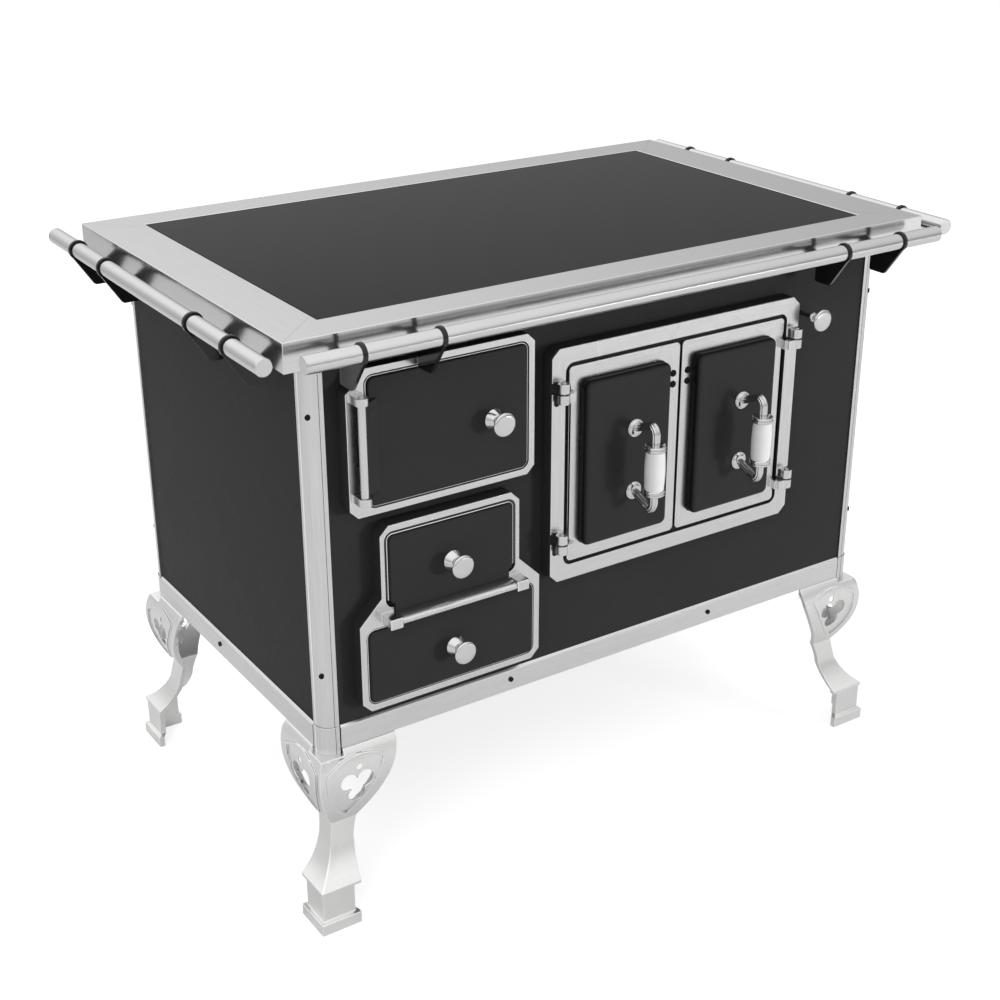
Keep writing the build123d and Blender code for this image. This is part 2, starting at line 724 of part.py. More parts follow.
# ---------------------------------------------------------------- knobs
def knob(length=knob_length, base_radius=knob_base_radius):
    """Turned knob along +Z: a coned base, a neck and a domed disc."""
    disc_low = length - knob_disc
    neck = min(knob_neck_radius, base_radius - 2)
    profile = [(0, 0), (base_radius - 1, 0), (base_radius, 1), (base_radius - 0.4, 0.14 * length),
               (base_radius - 2, 0.26 * length), (neck, 0.46 * length), (neck, disc_low - 4),
               (neck + 3, disc_low - 1), (knob_radius - 1, disc_low),
               (knob_radius, disc_low + 1.5), (knob_radius, length - 3),
               (knob_radius - 1.5, length - 1.2), (knob_radius - 6, length - 0.2), (0, length)]
    return turned(profile)


# ---------------------------------------------------------------- fire door
def door_front(middle_x, size, bottom, gap):
    """Enamelled door front inside its opening, with a rounded rim."""
    face = opening(middle_x, size, bottom, -gap)
    return front_rim(slab(face, door_back_y, front_y), front_edge_round)


fire_barrel_low = fire_collar_zs[0] + fire_collar_height + hinge_end_gap
fire_barrel_high = fire_collar_zs[1] - hinge_end_gap
fire_barrel_middle = Pos(fire_axis_x, fire_axis_y, (fire_barrel_low + fire_barrel_high) / 2)


def fire_door_panel():
    """Fire door front with the web that joins it to the hinge barrel."""
    panel = door_front(column_x, fire_open, fire_open_bottom, fire_gap)
    edge_x = column_x - fire_open[0] / 2 + fire_gap
    height = fire_barrel_high - fire_barrel_low
    web = outline([(fire_axis_x + 2, fire_axis_y + 4), (fire_axis_x + 4, fire_axis_y - 1),
                   (edge_x + 12, front_y), (edge_x + 6, front_y + 2), (edge_x + 3, front_y + 2)])
    web = Pos(0, 0, fire_barrel_low) * extrude(web, height)
    return panel + (web - fire_barrel_middle * Cylinder(fire_barrel_radius, height))


def fire_door_liner():
    """Heat shield on the back of the fire door, which closes inside the stop."""
    face = opening(column_x, fire_open, fire_open_bottom, -fire_stop - fire_liner_inset)
    return slab(face, door_back_y + fire_liner_depth, door_back_y)


def fire_door_hinge():
    """Polished barrel of the fire door between the frame's collars."""
    height = fire_barrel_high - fire_barrel_low
    barrel = Cylinder(fire_barrel_radius, height) - Cylinder(pin_radius + pin_fit, height)
    return fire_barrel_middle * barrel


def fire_door_knob():
    x = column_x + fire_open[0] / 2 - fire_knob_in
    return facing_front(knob(), x, front_y, fire_open_bottom + fire_knob_up)


# ---------------------------------------------------------------- ash flap and drawer
flap_barrel_length = flap_block_spacing - flap_block[0] - 2 * hinge_end_gap


def ash_flap_panel():
    """Flap front with the web below it that joins it to the hinge barrel."""
    panel = door_front(column_x, flap_open, flap_open_bottom, flap_gap)
    back_y = casting_y - 2 * seat_gap
    foot_z = flap_open_bottom + flap_gap + front_edge_round + 1
    web = outline([(back_y, foot_z), (front_y, foot_z), (front_y, flap_axis_z + flap_web_top),
                   (flap_axis_y, flap_axis_z + flap_barrel_radius),
                   (flap_axis_y + 1, flap_axis_z - 2), (back_y, flap_axis_z + 3)])
    web = extrude(Plane.YZ * web, flap_barrel_length / 2, both=True)
    barrel = across(Cylinder(flap_barrel_radius, 2 * flap_barrel_length), 0, flap_axis_y, flap_axis_z)
    return panel + Pos(column_x, 0, 0) * (web - barrel)


def ash_flap_hinge():
    """Polished barrel of the flap between the frame's blocks."""
    barrel = Cylinder(flap_barrel_radius, flap_barrel_length)
    barrel -= Cylinder(pin_radius + pin_fit, flap_barrel_length)
    return across(barrel, column_x, flap_axis_y, flap_axis_z)


def ash_flap_knob():
    return facing_front(knob(), column_x, front_y, flap_open_bottom + flap_knob_up)


def drawer_front():
    return door_front(column_x, drawer_open, drawer_open_bottom, drawer_gap)


def drawer_knob():
    return facing_front(knob(), column_x + drawer_knob_right, front_y,
                        drawer_open_bottom + drawer_knob_up)


tray_half = drawer_open[0] / 2 - drawer_stop - tray_gap
tray_bottom = drawer_open_bottom + drawer_stop + tray_gap


def ash_tray():
    """Open steel tray behind the drawer front."""
    outer = block(column_x - tray_half, column_x + tray_half, door_back_y, door_back_y + tray_depth,
                  tray_bottom, tray_bottom + tray_height)
    inner = block(column_x - tray_half + tray_wall, column_x + tray_half - tray_wall,
                  door_back_y + tray_wall, door_back_y + tray_depth - tray_wall,
                  tray_bottom + tray_wall, tray_bottom + tray_height)
    return outer - inner


# ---------------------------------------------------------------- oven doors, made as the left one
door_outer_x = oven_x - oven_open[0] / 2 + oven_gap
door_meeting_x = oven_x - oven_meeting_gap / 2
door_middle_x = (door_outer_x + door_meeting_x) / 2
door_low = oven_open_bottom + oven_gap
door_high = oven_open_top - oven_gap
door_middle_z = (door_low + door_high) / 2
raised_width = door_meeting_x - door_outer_x - 2 * oven_ring_side
raised_height = door_high - door_low - 2 * oven_ring_end
handle_z = oven_open_bottom + handle_up


def raised_area(shift, grow):
    """Area of the raised panel, moved right by a shift and grown all round by a margin."""
    place = Pos(door_middle_x + shift, door_middle_z)
    return place * RectangleRounded(raised_width + 2 * grow, raised_height + 2 * grow,
                                    oven_panel_round + grow)


def oven_door_ring(shift):
    """Polished ring of an oven door with its two hinge knuckles."""
    plate = RectangleRounded(door_meeting_x - door_outer_x, door_high - door_low,
                             opening_round - oven_gap)
    plate = Pos(door_middle_x, door_middle_z) * plate
    ring = slab(plate - raised_area(shift, oven_panel_fit), door_back_y, frame_y)
    for z in oven_hinge_zs:
        ring += knuckle(oven_axis_left, z - oven_knuckle_gap / 2 - oven_knuckle_height,
                        (door_outer_x + 1, door_outer_x + 1 + oven_hinge_foot), frame_y)
    return ring


def oven_door_panel(shift):
    """Raised enamelled panel with a broad rounded rim, and a flange behind the ring."""
    front = front_rim(slab(raised_area(shift, 0), door_back_y, raised_y), oven_panel_edge)
    flange = slab(raised_area(shift, oven_panel_flange_lap), door_back_y + oven_panel_flange,
                  door_back_y)
    return front + flange


def handle_arm(x, side):
    """Upper (+1) or lower (-1) arm: it spreads from its rosette and bends round to the grip."""
    z = handle_z + side * handle_spacing / 2
    slope = radians(arm_slope)
    bend_y = grip_y + arm_bend
    start_y = bend_y - arm_bend * sin(slope)
    start_z = z + side * (raised_y - start_y) * tan(slope)
    bend_z = start_z - side * arm_bend * cos(slope)
    top = (x, bend_y - arm_bend * sin(radians(45)), bend_z + side * arm_bend * cos(radians(45)))
    ferrule_z = handle_z + side * (grip_length / 2 + grip_fit + ferrule_height / 2)
    path = Line((x, raised_y, z), (x, start_y, start_z))
    path += ThreePointArc((x, start_y, start_z), top, (x, grip_y, bend_z))
    path += Line((x, grip_y, bend_z), (x, grip_y, ferrule_z))
    section = Plane(origin=(x, raised_y, z), z_dir=(0, -cos(slope), side * sin(slope)))
    return sweep(section * Circle(arm_radius), path)


def oven_handle(x):
    """Chrome bow handle: rosettes, bent arms, ferrules and the tie rod through the grip."""
    pieces = Pos(x, grip_y, handle_z) * Cylinder(tie_rod_radius, grip_length + 2 * ferrule_height)
    for side in (-1, 1):
        rosette = turned([(0, 0), (rosette_radius, 0), (rosette_radius, 1.2),
                          (arm_radius + 1, rosette_thickness), (0, rosette_thickness)])
        pieces += facing_front(rosette, x, raised_y, handle_z + side * handle_spacing / 2)
        arm = handle_arm(x, side)
        pieces += arm & block(x - rosette_radius, x + rosette_radius, 2 * grip_y, raised_y, 0, top_height)
        ferrule_z = handle_z + side * (grip_length / 2 + grip_fit + ferrule_height / 2)
        ferrule = Cylinder(ferrule_radius, ferrule_height)
        pieces += Pos(x, grip_y, ferrule_z) * fillet(ferrule.edges().filter_by(GeomType.CIRCLE), 1.2)
    return pieces


def oven_grip(x):
    """Barrel-shaped porcelain sleeve on the tie rod."""
    half = grip_length / 2
    swell = ThreePointArc((grip_end_radius, -half), (grip_radius, 0), (grip_end_radius, half))
    bore = tie_rod_radius + grip_fit
    ends = Polyline((grip_end_radius, half), (bore, half), (bore, -half), (grip_end_radius, -half))
    return Pos(x, grip_y, handle_z) * revolve(Plane.XZ * make_face(swell + ends), Axis.Z)


def catch_screws():
    """Two black screw heads that hold the catch at the meeting edge."""
    head = Pos(0, 0, screw_head_height / 2) * Cylinder(catch_screw_radius, screw_head_height)
    x = door_meeting_x - catch_screw_in
    return [facing_front(head, x, frame_y, oven_open_top - down) for down in catch_screw_down]


def other_door(shape):
    """Right-hand copy of an oven door piece."""
    return mirror(shape, Plane(origin=(oven_x, 0, 0), z_dir=(1, 0, 0)))


handle_x = door_middle_x + handle_shift
right_handle_x = 2 * oven_x - door_middle_x + handle_shift


# ---------------------------------------------------------------- damper
damper_knob_y = panel_y - damper_rod_out
plate_z0 = damper_z - baffle_drop + baffle_sheet / 2 + seat_gap


def damper_rod():
    """Pull rod through the front panel, with the damper plate hung under its inner end."""
    length = damper_rod_inside - damper_knob_y + panel_back_y
    rod = facing_front(Cylinder(damper_rod_radius, length), damper_x,
                       damper_knob_y + length / 2, damper_z)
    end_y = damper_knob_y + length
    width, depth, thickness = damper_plate
    plate = block(damper_x - width / 2, damper_x + width / 2, end_y - depth, end_y,
                  plate_z0, plate_z0 + thickness)
    web = block(damper_x - 1.5, damper_x + 1.5, end_y - depth, end_y, plate_z0, damper_z)
    return rod + plate + web


def damper_knob():
    shape = knob(damper_knob_length, damper_collar_radius)
    return facing_front(shape, damper_x, damper_knob_y, damper_z)


# ---------------------------------------------------------------- inside: oven
liner_x0 = oven_x - oven_open[0] / 2 + oven_stop + oven_liner_inset
liner_x1 = oven_x + oven_open[0] / 2 - oven_stop - oven_liner_inset
liner_z0 = oven_open_bottom + oven_stop + oven_liner_inset
liner_z1 = oven_open_top - oven_stop - oven_liner_inset
rack_z = oven_open_bottom + rack_up


def oven_liner():
    """Steel oven box behind the doors, open at the front, with a flange and two rack ledges."""
    y1 = panel_back_y + oven_liner_depth
    wall = liner_wall
    outer = block(liner_x0 - wall, liner_x1 + wall, panel_back_y, y1 + wall,
                  liner_z0 - wall, liner_z1 + wall)
    flange_reach = oven_liner_inset + 6
    outer += block(liner_x0 - flange_reach, liner_x1 + flange_reach, panel_back_y, panel_back_y + wall,
                   liner_z0 - flange_reach, liner_z1 + flange_reach)
    box = outer - block(liner_x0, liner_x1, panel_back_y, y1, liner_z0, liner_z1)
    ledge_z = rack_z - rack_rod
    for x0, x1 in ((liner_x0, liner_x0 + rack_ledge), (liner_x1 - rack_ledge, liner_x1)):
        box += block(x0, x1, panel_back_y + 20, y1, ledge_z - wall, ledge_z)
    return box


def oven_rack():
    """Wire rack on the ledges: an outer rod frame with bars from front to back."""
    x0 = liner_x0 + rack_clearance + rack_rod
    x1 = liner_x1 - rack_clearance - rack_rod
    y0 = panel_back_y + 30
    y1 = panel_back_y + oven_liner_depth - rack_clearance - rack_rod
    middle_y = (y0 + y1) / 2
    rack = across(Cylinder(rack_rod, x1 - x0 + 2 * rack_rod), (x0 + x1) / 2, y0, rack_z)
    rack += across(Cylinder(rack_rod, x1 - x0 + 2 * rack_rod), (x0 + x1) / 2, y1, rack_z)
    for x in (x0, x1):
        rack += facing_front(Cylinder(rack_rod, y1 - y0), x, middle_y, rack_z)
    for n in range(1, rack_bars + 1):
        x = x0 + (x1 - x0) * n / (rack_bars + 1)
        rack += facing_front(Cylinder(rack_bar, y1 - y0), x, middle_y, rack_z)
    return rack


# ---------------------------------------------------------------- inside: firebox and ash
shelf_top = fire_open_bottom - shelf_below_door
shelf_under = shelf_top - shelf_thickness
firebox_front = panel_back_y + firebox_gap
firebox_back = panel_back_y + firebox_depth
shelf_x0 = -panel_x + panel_wall
shelf_x1 = liner_x0 - liner_wall - rack_clearance


def ash_compartment():
    """Three steel walls on the base sheet, which carry the firebox shelf and the drawer runners."""
    half = drawer_open[0] / 2 + ash_wall_out
    x0 = column_x - half
    x1 = column_x + half
    walls = block(x0 - ash_wall, x1 + ash_wall, panel_back_y, firebox_back, panel_bottom, shelf_under)
    walls -= block(x0, x1, panel_back_y, firebox_back - ash_wall, panel_bottom, shelf_under)
    runner_z = tray_bottom - seat_gap
    reach = ash_wall_out + drawer_stop + tray_gap + runner_width
    for low, high in ((x0, x0 + reach), (x1 - reach, x1)):
        walls += block(low, high, panel_back_y, firebox_back - ash_wall,
                       runner_z - runner_thickness, runner_z)
    return walls


def firebox_shelf():
    """Cast shelf under the fire, with a rebated hole for the grate."""
    shelf = block(shelf_x0, shelf_x1, firebox_front, firebox_back, shelf_under, shelf_top)
    shelf = chamfer(shelf.edges().filter_by(Axis.Z), shelf_corner)
    middle_y = (panel_back_y + firebox_back - brick_thickness) / 2
    width, depth = grate_size
    hole = block(column_x - width / 2 + 8, column_x + width / 2 - 8, middle_y - depth / 2 + 8,
                 middle_y + depth / 2 - 8, shelf_under, shelf_top)
    rebate = block(column_x - width / 2, column_x + width / 2, middle_y - depth / 2,
                   middle_y + depth / 2, shelf_top - grate_thickness / 2, shelf_top)
    return shelf - hole - rebate


def grate():
    """Cast grate in the shelf: a frame with bars across it."""
    middle_y = (panel_back_y + firebox_back - brick_thickness) / 2
    half_x = grate_size[0] / 2 - grate_fit
    half_y = grate_size[1] / 2 - grate_fit
    z0 = shelf_top - grate_thickness / 2
    z1 = z0 + grate_thickness
    frame = block(column_x - half_x, column_x + half_x, middle_y - half_y, middle_y + half_y, z0, z1)
    frame -= block(column_x - half_x + 12, column_x + half_x - 12, middle_y - half_y + 12,
                   middle_y + half_y - 12, z0, z1)
    for n in range(1, grate_bars + 1):
        y = middle_y - half_y + 2 * half_y * n / (grate_bars + 1)
        frame += block(column_x - half_x + 6, column_x + half_x - 6, y - grate_bar / 2,
                       y + grate_bar / 2, z0, z1)
    return frame


def firebricks():
    """Firebrick lining: left wall, back wall and the low wall beside the oven."""
    top = glass_under - support_sheet - brick_headroom
    low_top = glass_under - support_sheet - brick_smoke_gap
    y0 = firebox_front
    y1 = firebox_back - brick_thickness
    left = block(shelf_x0 + 4, shelf_x0 + 4 + brick_thickness, y0, y1, shelf_top, top)
    right = block(shelf_x1 - brick_thickness, shelf_x1, y0, y1, shelf_top, low_top)
    back = block(shelf_x0 + 4, shelf_x1, y1 + 1, firebox_back, shelf_top, top)
    return [left, right, back]


def smoke_baffle():
    """Plate between the oven box and the right side, with a port that the damper plate covers."""
    z1 = damper_z - baffle_drop + baffle_sheet / 2
    x0 = liner_x1 + oven_liner_inset + 8
    plate = block(x0, panel_x - panel_wall, panel_back_y + baffle_slot, -panel_back_y - baffle_corner,
                  z1 - baffle_sheet, z1)
    plate += block(liner_x1 + liner_wall, x0, panel_back_y + baffle_slot,
                   panel_back_y + oven_liner_depth, z1 - baffle_sheet, z1)
    width, depth = baffle_port
    port_y = panel_back_y + damper_rod_inside - damper_plate[1] / 2
    return plate - block(damper_x - width / 2, damper_x + width / 2, port_y - depth / 2,
                         port_y + depth / 2, z1 - baffle_sheet, z1)


def flue_collar():
    """Cast spigot on the rear panel for the smoke pipe."""
    start = -panel_y
    reach = half_d + flue_reach
    flange = Pos(0, 0, -flue_flange / 2) * Cylinder(flue_flange_radius, flue_flange)
    spigot = Pos(0, 0, -(reach - start) / 2) * Cylinder(flue_radius, reach - start)
    bore = Pos(0, 0, -(reach - start) / 2) * Cylinder(flue_radius - flue_wall, reach - start)
    return facing_front(flange + spigot - bore, flue_x, start, flue_z)


# ---------------------------------------------------------------- legs
knee_z = leg_height - knee_drop
knee_low_z = leg_height - knee_low_drop
waist_z = leg_height - waist_drop
shin_z = leg_height - shin_drop


def leg_side_curve(shift):
    """Outside of a leg from top to floor in (outwards negative, z), moved inwards by shift."""
    knee = Spline((shift - leg_top_out, leg_height), (shift - knee_out, knee_z),
                  (shift - knee_low_out, knee_low_z), (shift + waist_in, waist_z))
    shin = Line((shift + waist_in, waist_z), (shift + shin_in, shin_z))
    ankle_mid_z = (shin_z + ankle_z) / 2
    ankle_mid = (shin_in - ankle_out) / 2 + 5.5
    ankle = Spline((shift + shin_in, shin_z), (shift + ankle_mid, ankle_mid_z),
                   (shift - ankle_out, ankle_z))
    foot = Polyline((shift - ankle_out, ankle_z), (shift - ankle_out, block_top),
                    (shift - block_out, block_top), (shift - block_out, plinth_top + 2),
                    (shift - plinth_out, plinth_top), (shift - plinth_out, 0))
    return knee + shin + ankle + foot


def leg_band(shift0, shift1):
    """Area between the outside curve at two shifts."""
    ends = Line((shift0 - leg_top_out, leg_height), (shift1 - leg_top_out, leg_height))
    ends += Line((shift0 - plinth_out, 0), (shift1 - plinth_out, 0))
    return make_face(leg_side_curve(shift0) + leg_side_curve(shift1) + ends)


def leg_hollow():
    """Area inside the leg's wall, seen from the front or the side."""
    far = 2 * leg_top_width
    ends = Polyline((leg_wall - leg_top_out, leg_height), (far, leg_height), (far, 0),
                    (leg_wall - plinth_out, 0))
    return make_face(leg_side_curve(leg_wall) + ends)


def leg_plate_outline():
    """Front view of one plate of a leg, from its outer ridge to its scrolled inner edge."""
    inner = Spline((leg_top_width, leg_height), (leg_knee_width, knee_z - 10),
                   (leg_waist_width + 24, knee_low_z - 8), (leg_waist_width, waist_z + 2),
                   (leg_shin_width, shin_z + 3))
    shin = Polyline((leg_shin_width, shin_z + 3), (leg_shin_width, shin_z - 4),
                    (leg_ankle_width, ankle_z), (leg_ankle_width, block_top),
                    (leg_block_width, block_top), (leg_block_width, plinth_top + 2),
                    (leg_plinth_width, plinth_top), (leg_plinth_width, 0))
    ends = Line((-leg_top_out, leg_height), (leg_top_width, leg_height))
    ends += Line((-plinth_out, 0), (leg_plinth_width, 0))
    return make_face(leg_side_curve(0) + inner + shin + ends)


def shield_face():
    """Shield on the knee, inside three arcs: an arched top over sides that draw together."""
    top_left = (-5.0, knee_z + 9)
    top_right = (leg_top_width - 18, knee_z + 15)
    tip = (28.0, knee_z - 72)
    arch = ThreePointArc(top_left, (36, knee_z + 25), top_right)
    right = ThreePointArc(top_right, (62, knee_z - 29), tip)
    left = ThreePointArc(tip, (1, knee_z - 38), top_left)
    shield = make_face(arch + right + left)
    return fillet(shield.vertices().sort_by(Axis.Y)[0], shield_tip_round)


def leg_motif():
    """Pierced trefoil with a round eyelet above it."""
    middle = Pos(trefoil_centre[0], leg_height - trefoil_centre[1])
    face = middle * Circle(trefoil_radius / 2)
    for lobe in range(3):
        face += middle * Rot(0, 0, 120 * lobe - 90) * Pos(trefoil_spread, 0) * Circle(trefoil_radius)
    return face + Pos(eyelet_centre[0], leg_height - eyelet_centre[1]) * Circle(eyelet_radius)


def leg_lip():
    """Lip on the top of a plate, which rises between shoe and plate end to the base rail."""
    inner = leg_wall - leg_top_out
    section = outline([(-leg_top_out + 2, leg_height - 2), (-leg_top_out, leg_height),
                       (-leg_lip_out, panel_bottom), (inner, panel_bottom),
                       (inner, leg_height - 2)])
    start = post_face + base_rail_joint
    return Pos(start, 0, 0) * extrude(Plane.YZ * section, leg_top_width - start)


def leg():
    """One cast leg at the front left corner.

    Two curved plates of one outline meet in a ridge, each with a shield moulding round a pierced
    motif, thinned behind it, and a flange inside the top takes the bolts.
    """
    depth = 3 * plinth_out
    span = 3 * leg_top_width

    def from_front(face):
        return Pos(0, span - depth, 0) * extrude(Plane.XZ * face, span)

    def from_side(face):
        return Pos(-depth, 0, 0) * extrude(Plane.YZ * face, span)

    plates = from_front(leg_plate_outline()) & from_side(leg_plate_outline())
    plates -= from_front(leg_hollow()) & from_side(leg_hollow())
    shield = shield_face()
    beside = Pos(leg_wall + motif_hollow_room + leg_top_width / 2, knee_z)
    hollow = offset(shield, -motif_hollow_inset) & beside * Rectangle(leg_top_width, leg_height)
    thinned = from_front(hollow) & from_side(leg_band(motif_wall, 1.5 * leg_wall))
    plates -= thinned
    plates -= mirror(thinned, Plane(origin=(0, 0, 0), z_dir=(1, -1, 0)))
    moulding = shield - offset(shield, -shield_border)
    raised = leg_band(-shield_relief, shield_relief)
    relief = from_front(moulding) & from_side(raised)
    plates += relief + mirror(relief, Plane(origin=(0, 0, 0), z_dir=(1, -1, 0)))
    motif = leg_motif()
    cutter = from_front(motif) & from_side(leg_band(-depth / 2, 1.5 * leg_wall))
    plates -= cutter
    plates -= mirror(cutter, Plane(origin=(0, 0, 0), z_dir=(1, -1, 0)))
    flange = block(-2, leg_flange, -2, leg_flange, leg_height - leg_flange_thickness, leg_height)
    lip = leg_lip()
    other_lip = mirror(lip, Plane(origin=(0, 0, 0), z_dir=(1, -1, 0)))
    return plates + flange + lip + other_lip


# ---------------------------------------------------------------- screws
def body_screws():
    """Black screw heads on the corner posts and the base rails."""
    head = Pos(0, 0, screw_head_height / 2) * Cylinder(screw_head_radius, screw_head_height)
    pieces = []
    inward = post_round * (1 - 0.5 ** 0.5)
    slanted = Rot(0, 0, -45) * Rot(90, 0, 0) * head
    for z in (leg_height + post_screw_up, apron_z - post_screw_down):
        pieces += four_corners(Pos(inward, inward, z) * slanted)
    rail_z = panel_bottom + base_rail_height / 2
    for x in (-front_rail_screw_x, front_rail_screw_x):
        pieces.append(facing_front(head, x, panel_y - base_rail_thickness, rail_z))
    side = Pos(-panel_x - base_rail_thickness, side_rail_screw_y, rail_z) * Rot(0, -90, 0) * head
    pieces += [side, mirror(side, Plane.YZ)]
    return pieces


# ---------------------------------------------------------------- writing the pieces
def write(name, shape):
    """Moves a piece so that the plan's middle is at the origin, and writes it."""
    if isinstance(shape, list):
        shape = Compound(children=[solid for piece in shape for solid in piece.solids()])
    export_step(Pos(0, -plan_middle, 0) * shape, os.path.join("parts", name + ".step"))


os.makedirs("parts", exist_ok=True)

write("worktop_border", worktop_border())
write("hob_glass", hob_glass())
write("hob_support", hob_support())

write("front_panel", front_panel())
write("left_panel", side_panel(-1))
write("right_panel", side_panel(1))
write("back_panel", back_panel())
write("base_panel", base_panel())
corner_names = ("front_left", "front_right", "back_right", "back_left")
for corner, post in zip(corner_names, four_corners(corner_post())):
    write("corner_post_" + corner, post)
write("post_shoes", four_corners(post_shoe()))
write("base_rails", base_rails())
for corner, casting in zip(corner_names, four_corners(leg())):
    write("leg_" + corner, casting)
write("body_screws", body_screws())

write("front_rail", Pos(0, -top_depth / 2 - rail_out_front, rail_height) * towel_rail(front_rail_length))
side_rail = Rot(0, 0, 90) * towel_rail(side_rail_length)
write("left_rail", Pos(-top_width / 2 - rail_out_side, 0, rail_height) * side_rail)
write("right_rail", Pos(top_width / 2 + rail_out_side, 0, rail_height) * side_rail)
write("rail_brackets", rail_brackets())

write("fire_surround", fire_surround())
write("ash_surround", ash_surround())
write("oven_surround", oven_surround())
write("fire_frame", fire_frame())
write("ash_frame", ash_frame())
write("oven_frame", oven_frame())
write("hinge_pins", hinge_pins())

write("fire_door_panel", fire_door_panel())
write("fire_door_liner", fire_door_liner())
write("fire_door_hinge", fire_door_hinge())
write("fire_door_knob", fire_door_knob())
write("ash_flap_panel", ash_flap_panel())
write("ash_flap_hinge", ash_flap_hinge())
write("ash_flap_knob", ash_flap_knob())
write("drawer_front", drawer_front())
write("ash_tray", ash_tray())
write("drawer_knob", drawer_knob())

write("oven_left_ring", oven_door_ring(oven_panel_shift))
write("oven_right_ring", other_door(oven_door_ring(-oven_panel_shift)))
write("oven_left_panel", oven_door_panel(oven_panel_shift))
write("oven_right_panel", other_door(oven_door_panel(-oven_panel_shift)))
write("oven_left_handle", oven_handle(handle_x))
write("oven_right_handle", oven_handle(right_handle_x))
write("oven_left_grip", oven_grip(handle_x))
write("oven_right_grip", oven_grip(right_handle_x))
write("oven_left_screws", catch_screws())
write("oven_right_screws", [other_door(screw) for screw in catch_screws()])

write("damper_rod", damper_rod())
write("damper_knob", damper_knob())

write("oven_liner", oven_liner())
write("oven_rack", oven_rack())
write("firebox_shelf", firebox_shelf())
write("grate", grate())
write("firebricks", firebricks())
write("ash_compartment", ash_compartment())
write("smoke_baffle", smoke_baffle())
write("flue_collar", flue_collar())
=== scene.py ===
import bmesh
import bpy
import json
import math
import numpy as np
from mathutils import Matrix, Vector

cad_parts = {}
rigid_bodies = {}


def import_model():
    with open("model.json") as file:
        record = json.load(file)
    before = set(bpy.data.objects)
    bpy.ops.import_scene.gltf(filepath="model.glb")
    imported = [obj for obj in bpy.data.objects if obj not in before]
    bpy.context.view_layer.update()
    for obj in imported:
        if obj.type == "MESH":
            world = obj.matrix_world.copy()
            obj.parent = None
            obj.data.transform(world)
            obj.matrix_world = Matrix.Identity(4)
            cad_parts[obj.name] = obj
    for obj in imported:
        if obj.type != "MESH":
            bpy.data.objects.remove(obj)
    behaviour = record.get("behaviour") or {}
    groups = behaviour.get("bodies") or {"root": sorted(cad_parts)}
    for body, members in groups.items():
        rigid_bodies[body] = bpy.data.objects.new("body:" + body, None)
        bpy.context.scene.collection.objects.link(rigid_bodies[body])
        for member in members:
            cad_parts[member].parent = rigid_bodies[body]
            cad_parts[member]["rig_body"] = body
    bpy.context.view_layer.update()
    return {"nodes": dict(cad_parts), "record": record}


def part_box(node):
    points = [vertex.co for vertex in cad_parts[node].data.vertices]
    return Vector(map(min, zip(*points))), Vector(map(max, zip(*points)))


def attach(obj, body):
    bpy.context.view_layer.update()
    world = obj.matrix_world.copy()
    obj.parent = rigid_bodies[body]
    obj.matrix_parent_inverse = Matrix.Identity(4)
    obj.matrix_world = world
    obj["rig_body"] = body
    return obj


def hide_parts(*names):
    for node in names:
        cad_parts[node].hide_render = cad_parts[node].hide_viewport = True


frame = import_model()
scene = bpy.context.scene
nodes = frame["nodes"]
slot_of = {row["node"]: row["material_slot"] for row in frame["record"]["subparts"]}

# A wood-fired cookstove in black enamel, brushed and polished steel and bright cast legs, on a
# plain pale floor.  Lengths are metres, the floor is z = 0 and the front faces -Y.

MM = 0.001
FRAMES = ("fire_frame", "ash_frame", "oven_frame", "oven_left_ring", "oven_right_ring")
SURROUNDS = ("fire_surround", "ash_surround", "oven_surround")
OVEN_PANELS = ("oven_left_panel", "oven_right_panel")
LEGS = ("leg_front_left", "leg_front_right", "leg_back_left", "leg_back_right")


# ---------------------------------------------------------------- colours and node trees
def linear(hex_colour):
    """Linear RGBA of an sRGB hex colour such as '#3A3A3A'."""
    channels = [int(hex_colour[n:n + 2], 16) / 255 for n in (1, 3, 5)]
    return [c / 12.92 if c <= 0.04045 else ((c + 0.055) / 1.055) ** 2.4 for c in channels] + [1.0]


def add(tree, kind, settings=None, **inputs):
    """Adds a node with its settings, and sets or links its inputs by name or by number."""
    node = tree.nodes.new(kind)
    for name, value in (settings or {}).items():
        setattr(node, name, value)
    for name, value in inputs.items():
        key = int(name[1:]) if name[0] == "_" else name.replace("_", " ")
        socket = node.inputs[key]
        if isinstance(value, bpy.types.NodeSocket):
            tree.links.new(value, socket)
        else:
            socket.default_value = value
    return node


def new_material(name, **shader):
    """A material with one Principled shader, returned with its node tree and shader."""
    material = bpy.data.materials.new(name)
    material.use_nodes = True
    tree = material.node_tree
    tree.nodes.clear()
    surface = add(tree, "ShaderNodeBsdfPrincipled", None, **shader)
    add(tree, "ShaderNodeOutputMaterial", None, Surface=surface.outputs[0])
    return material, tree, surface


def place(tree, scale=(1, 1, 1), rotation=(0, 0, 0)):
    """Object coordinates in metres, scaled and turned."""
    coordinates = add(tree, "ShaderNodeTexCoord")
    return add(tree, "ShaderNodeMapping", None, Vector=coordinates.outputs["Object"], Scale=scale,
               Rotation=rotation).outputs[0]


def noise(tree, vector, per_metre, detail=2.0, rough=0.5):
    """Noise of a number of cells per metre."""
    return add(tree, "ShaderNodeTexNoise", None, Vector=vector, Scale=per_metre, Detail=detail,
               Roughness=rough).outputs["Fac"]


def spread(tree, value, low, high, start=0.3, end=0.7):
    """Value from start to end, spread over low to high."""
    return add(tree, "ShaderNodeMapRange", None, Value=value, _1=start, _2=end, _3=low,
               _4=high).outputs[0]


def maths(tree, operation, first, second=0.0):
    """One sum, product, comparison or other operation on two values."""
    return add(tree, "ShaderNodeMath", {"operation": operation}, _0=first, _1=second).outputs[0]


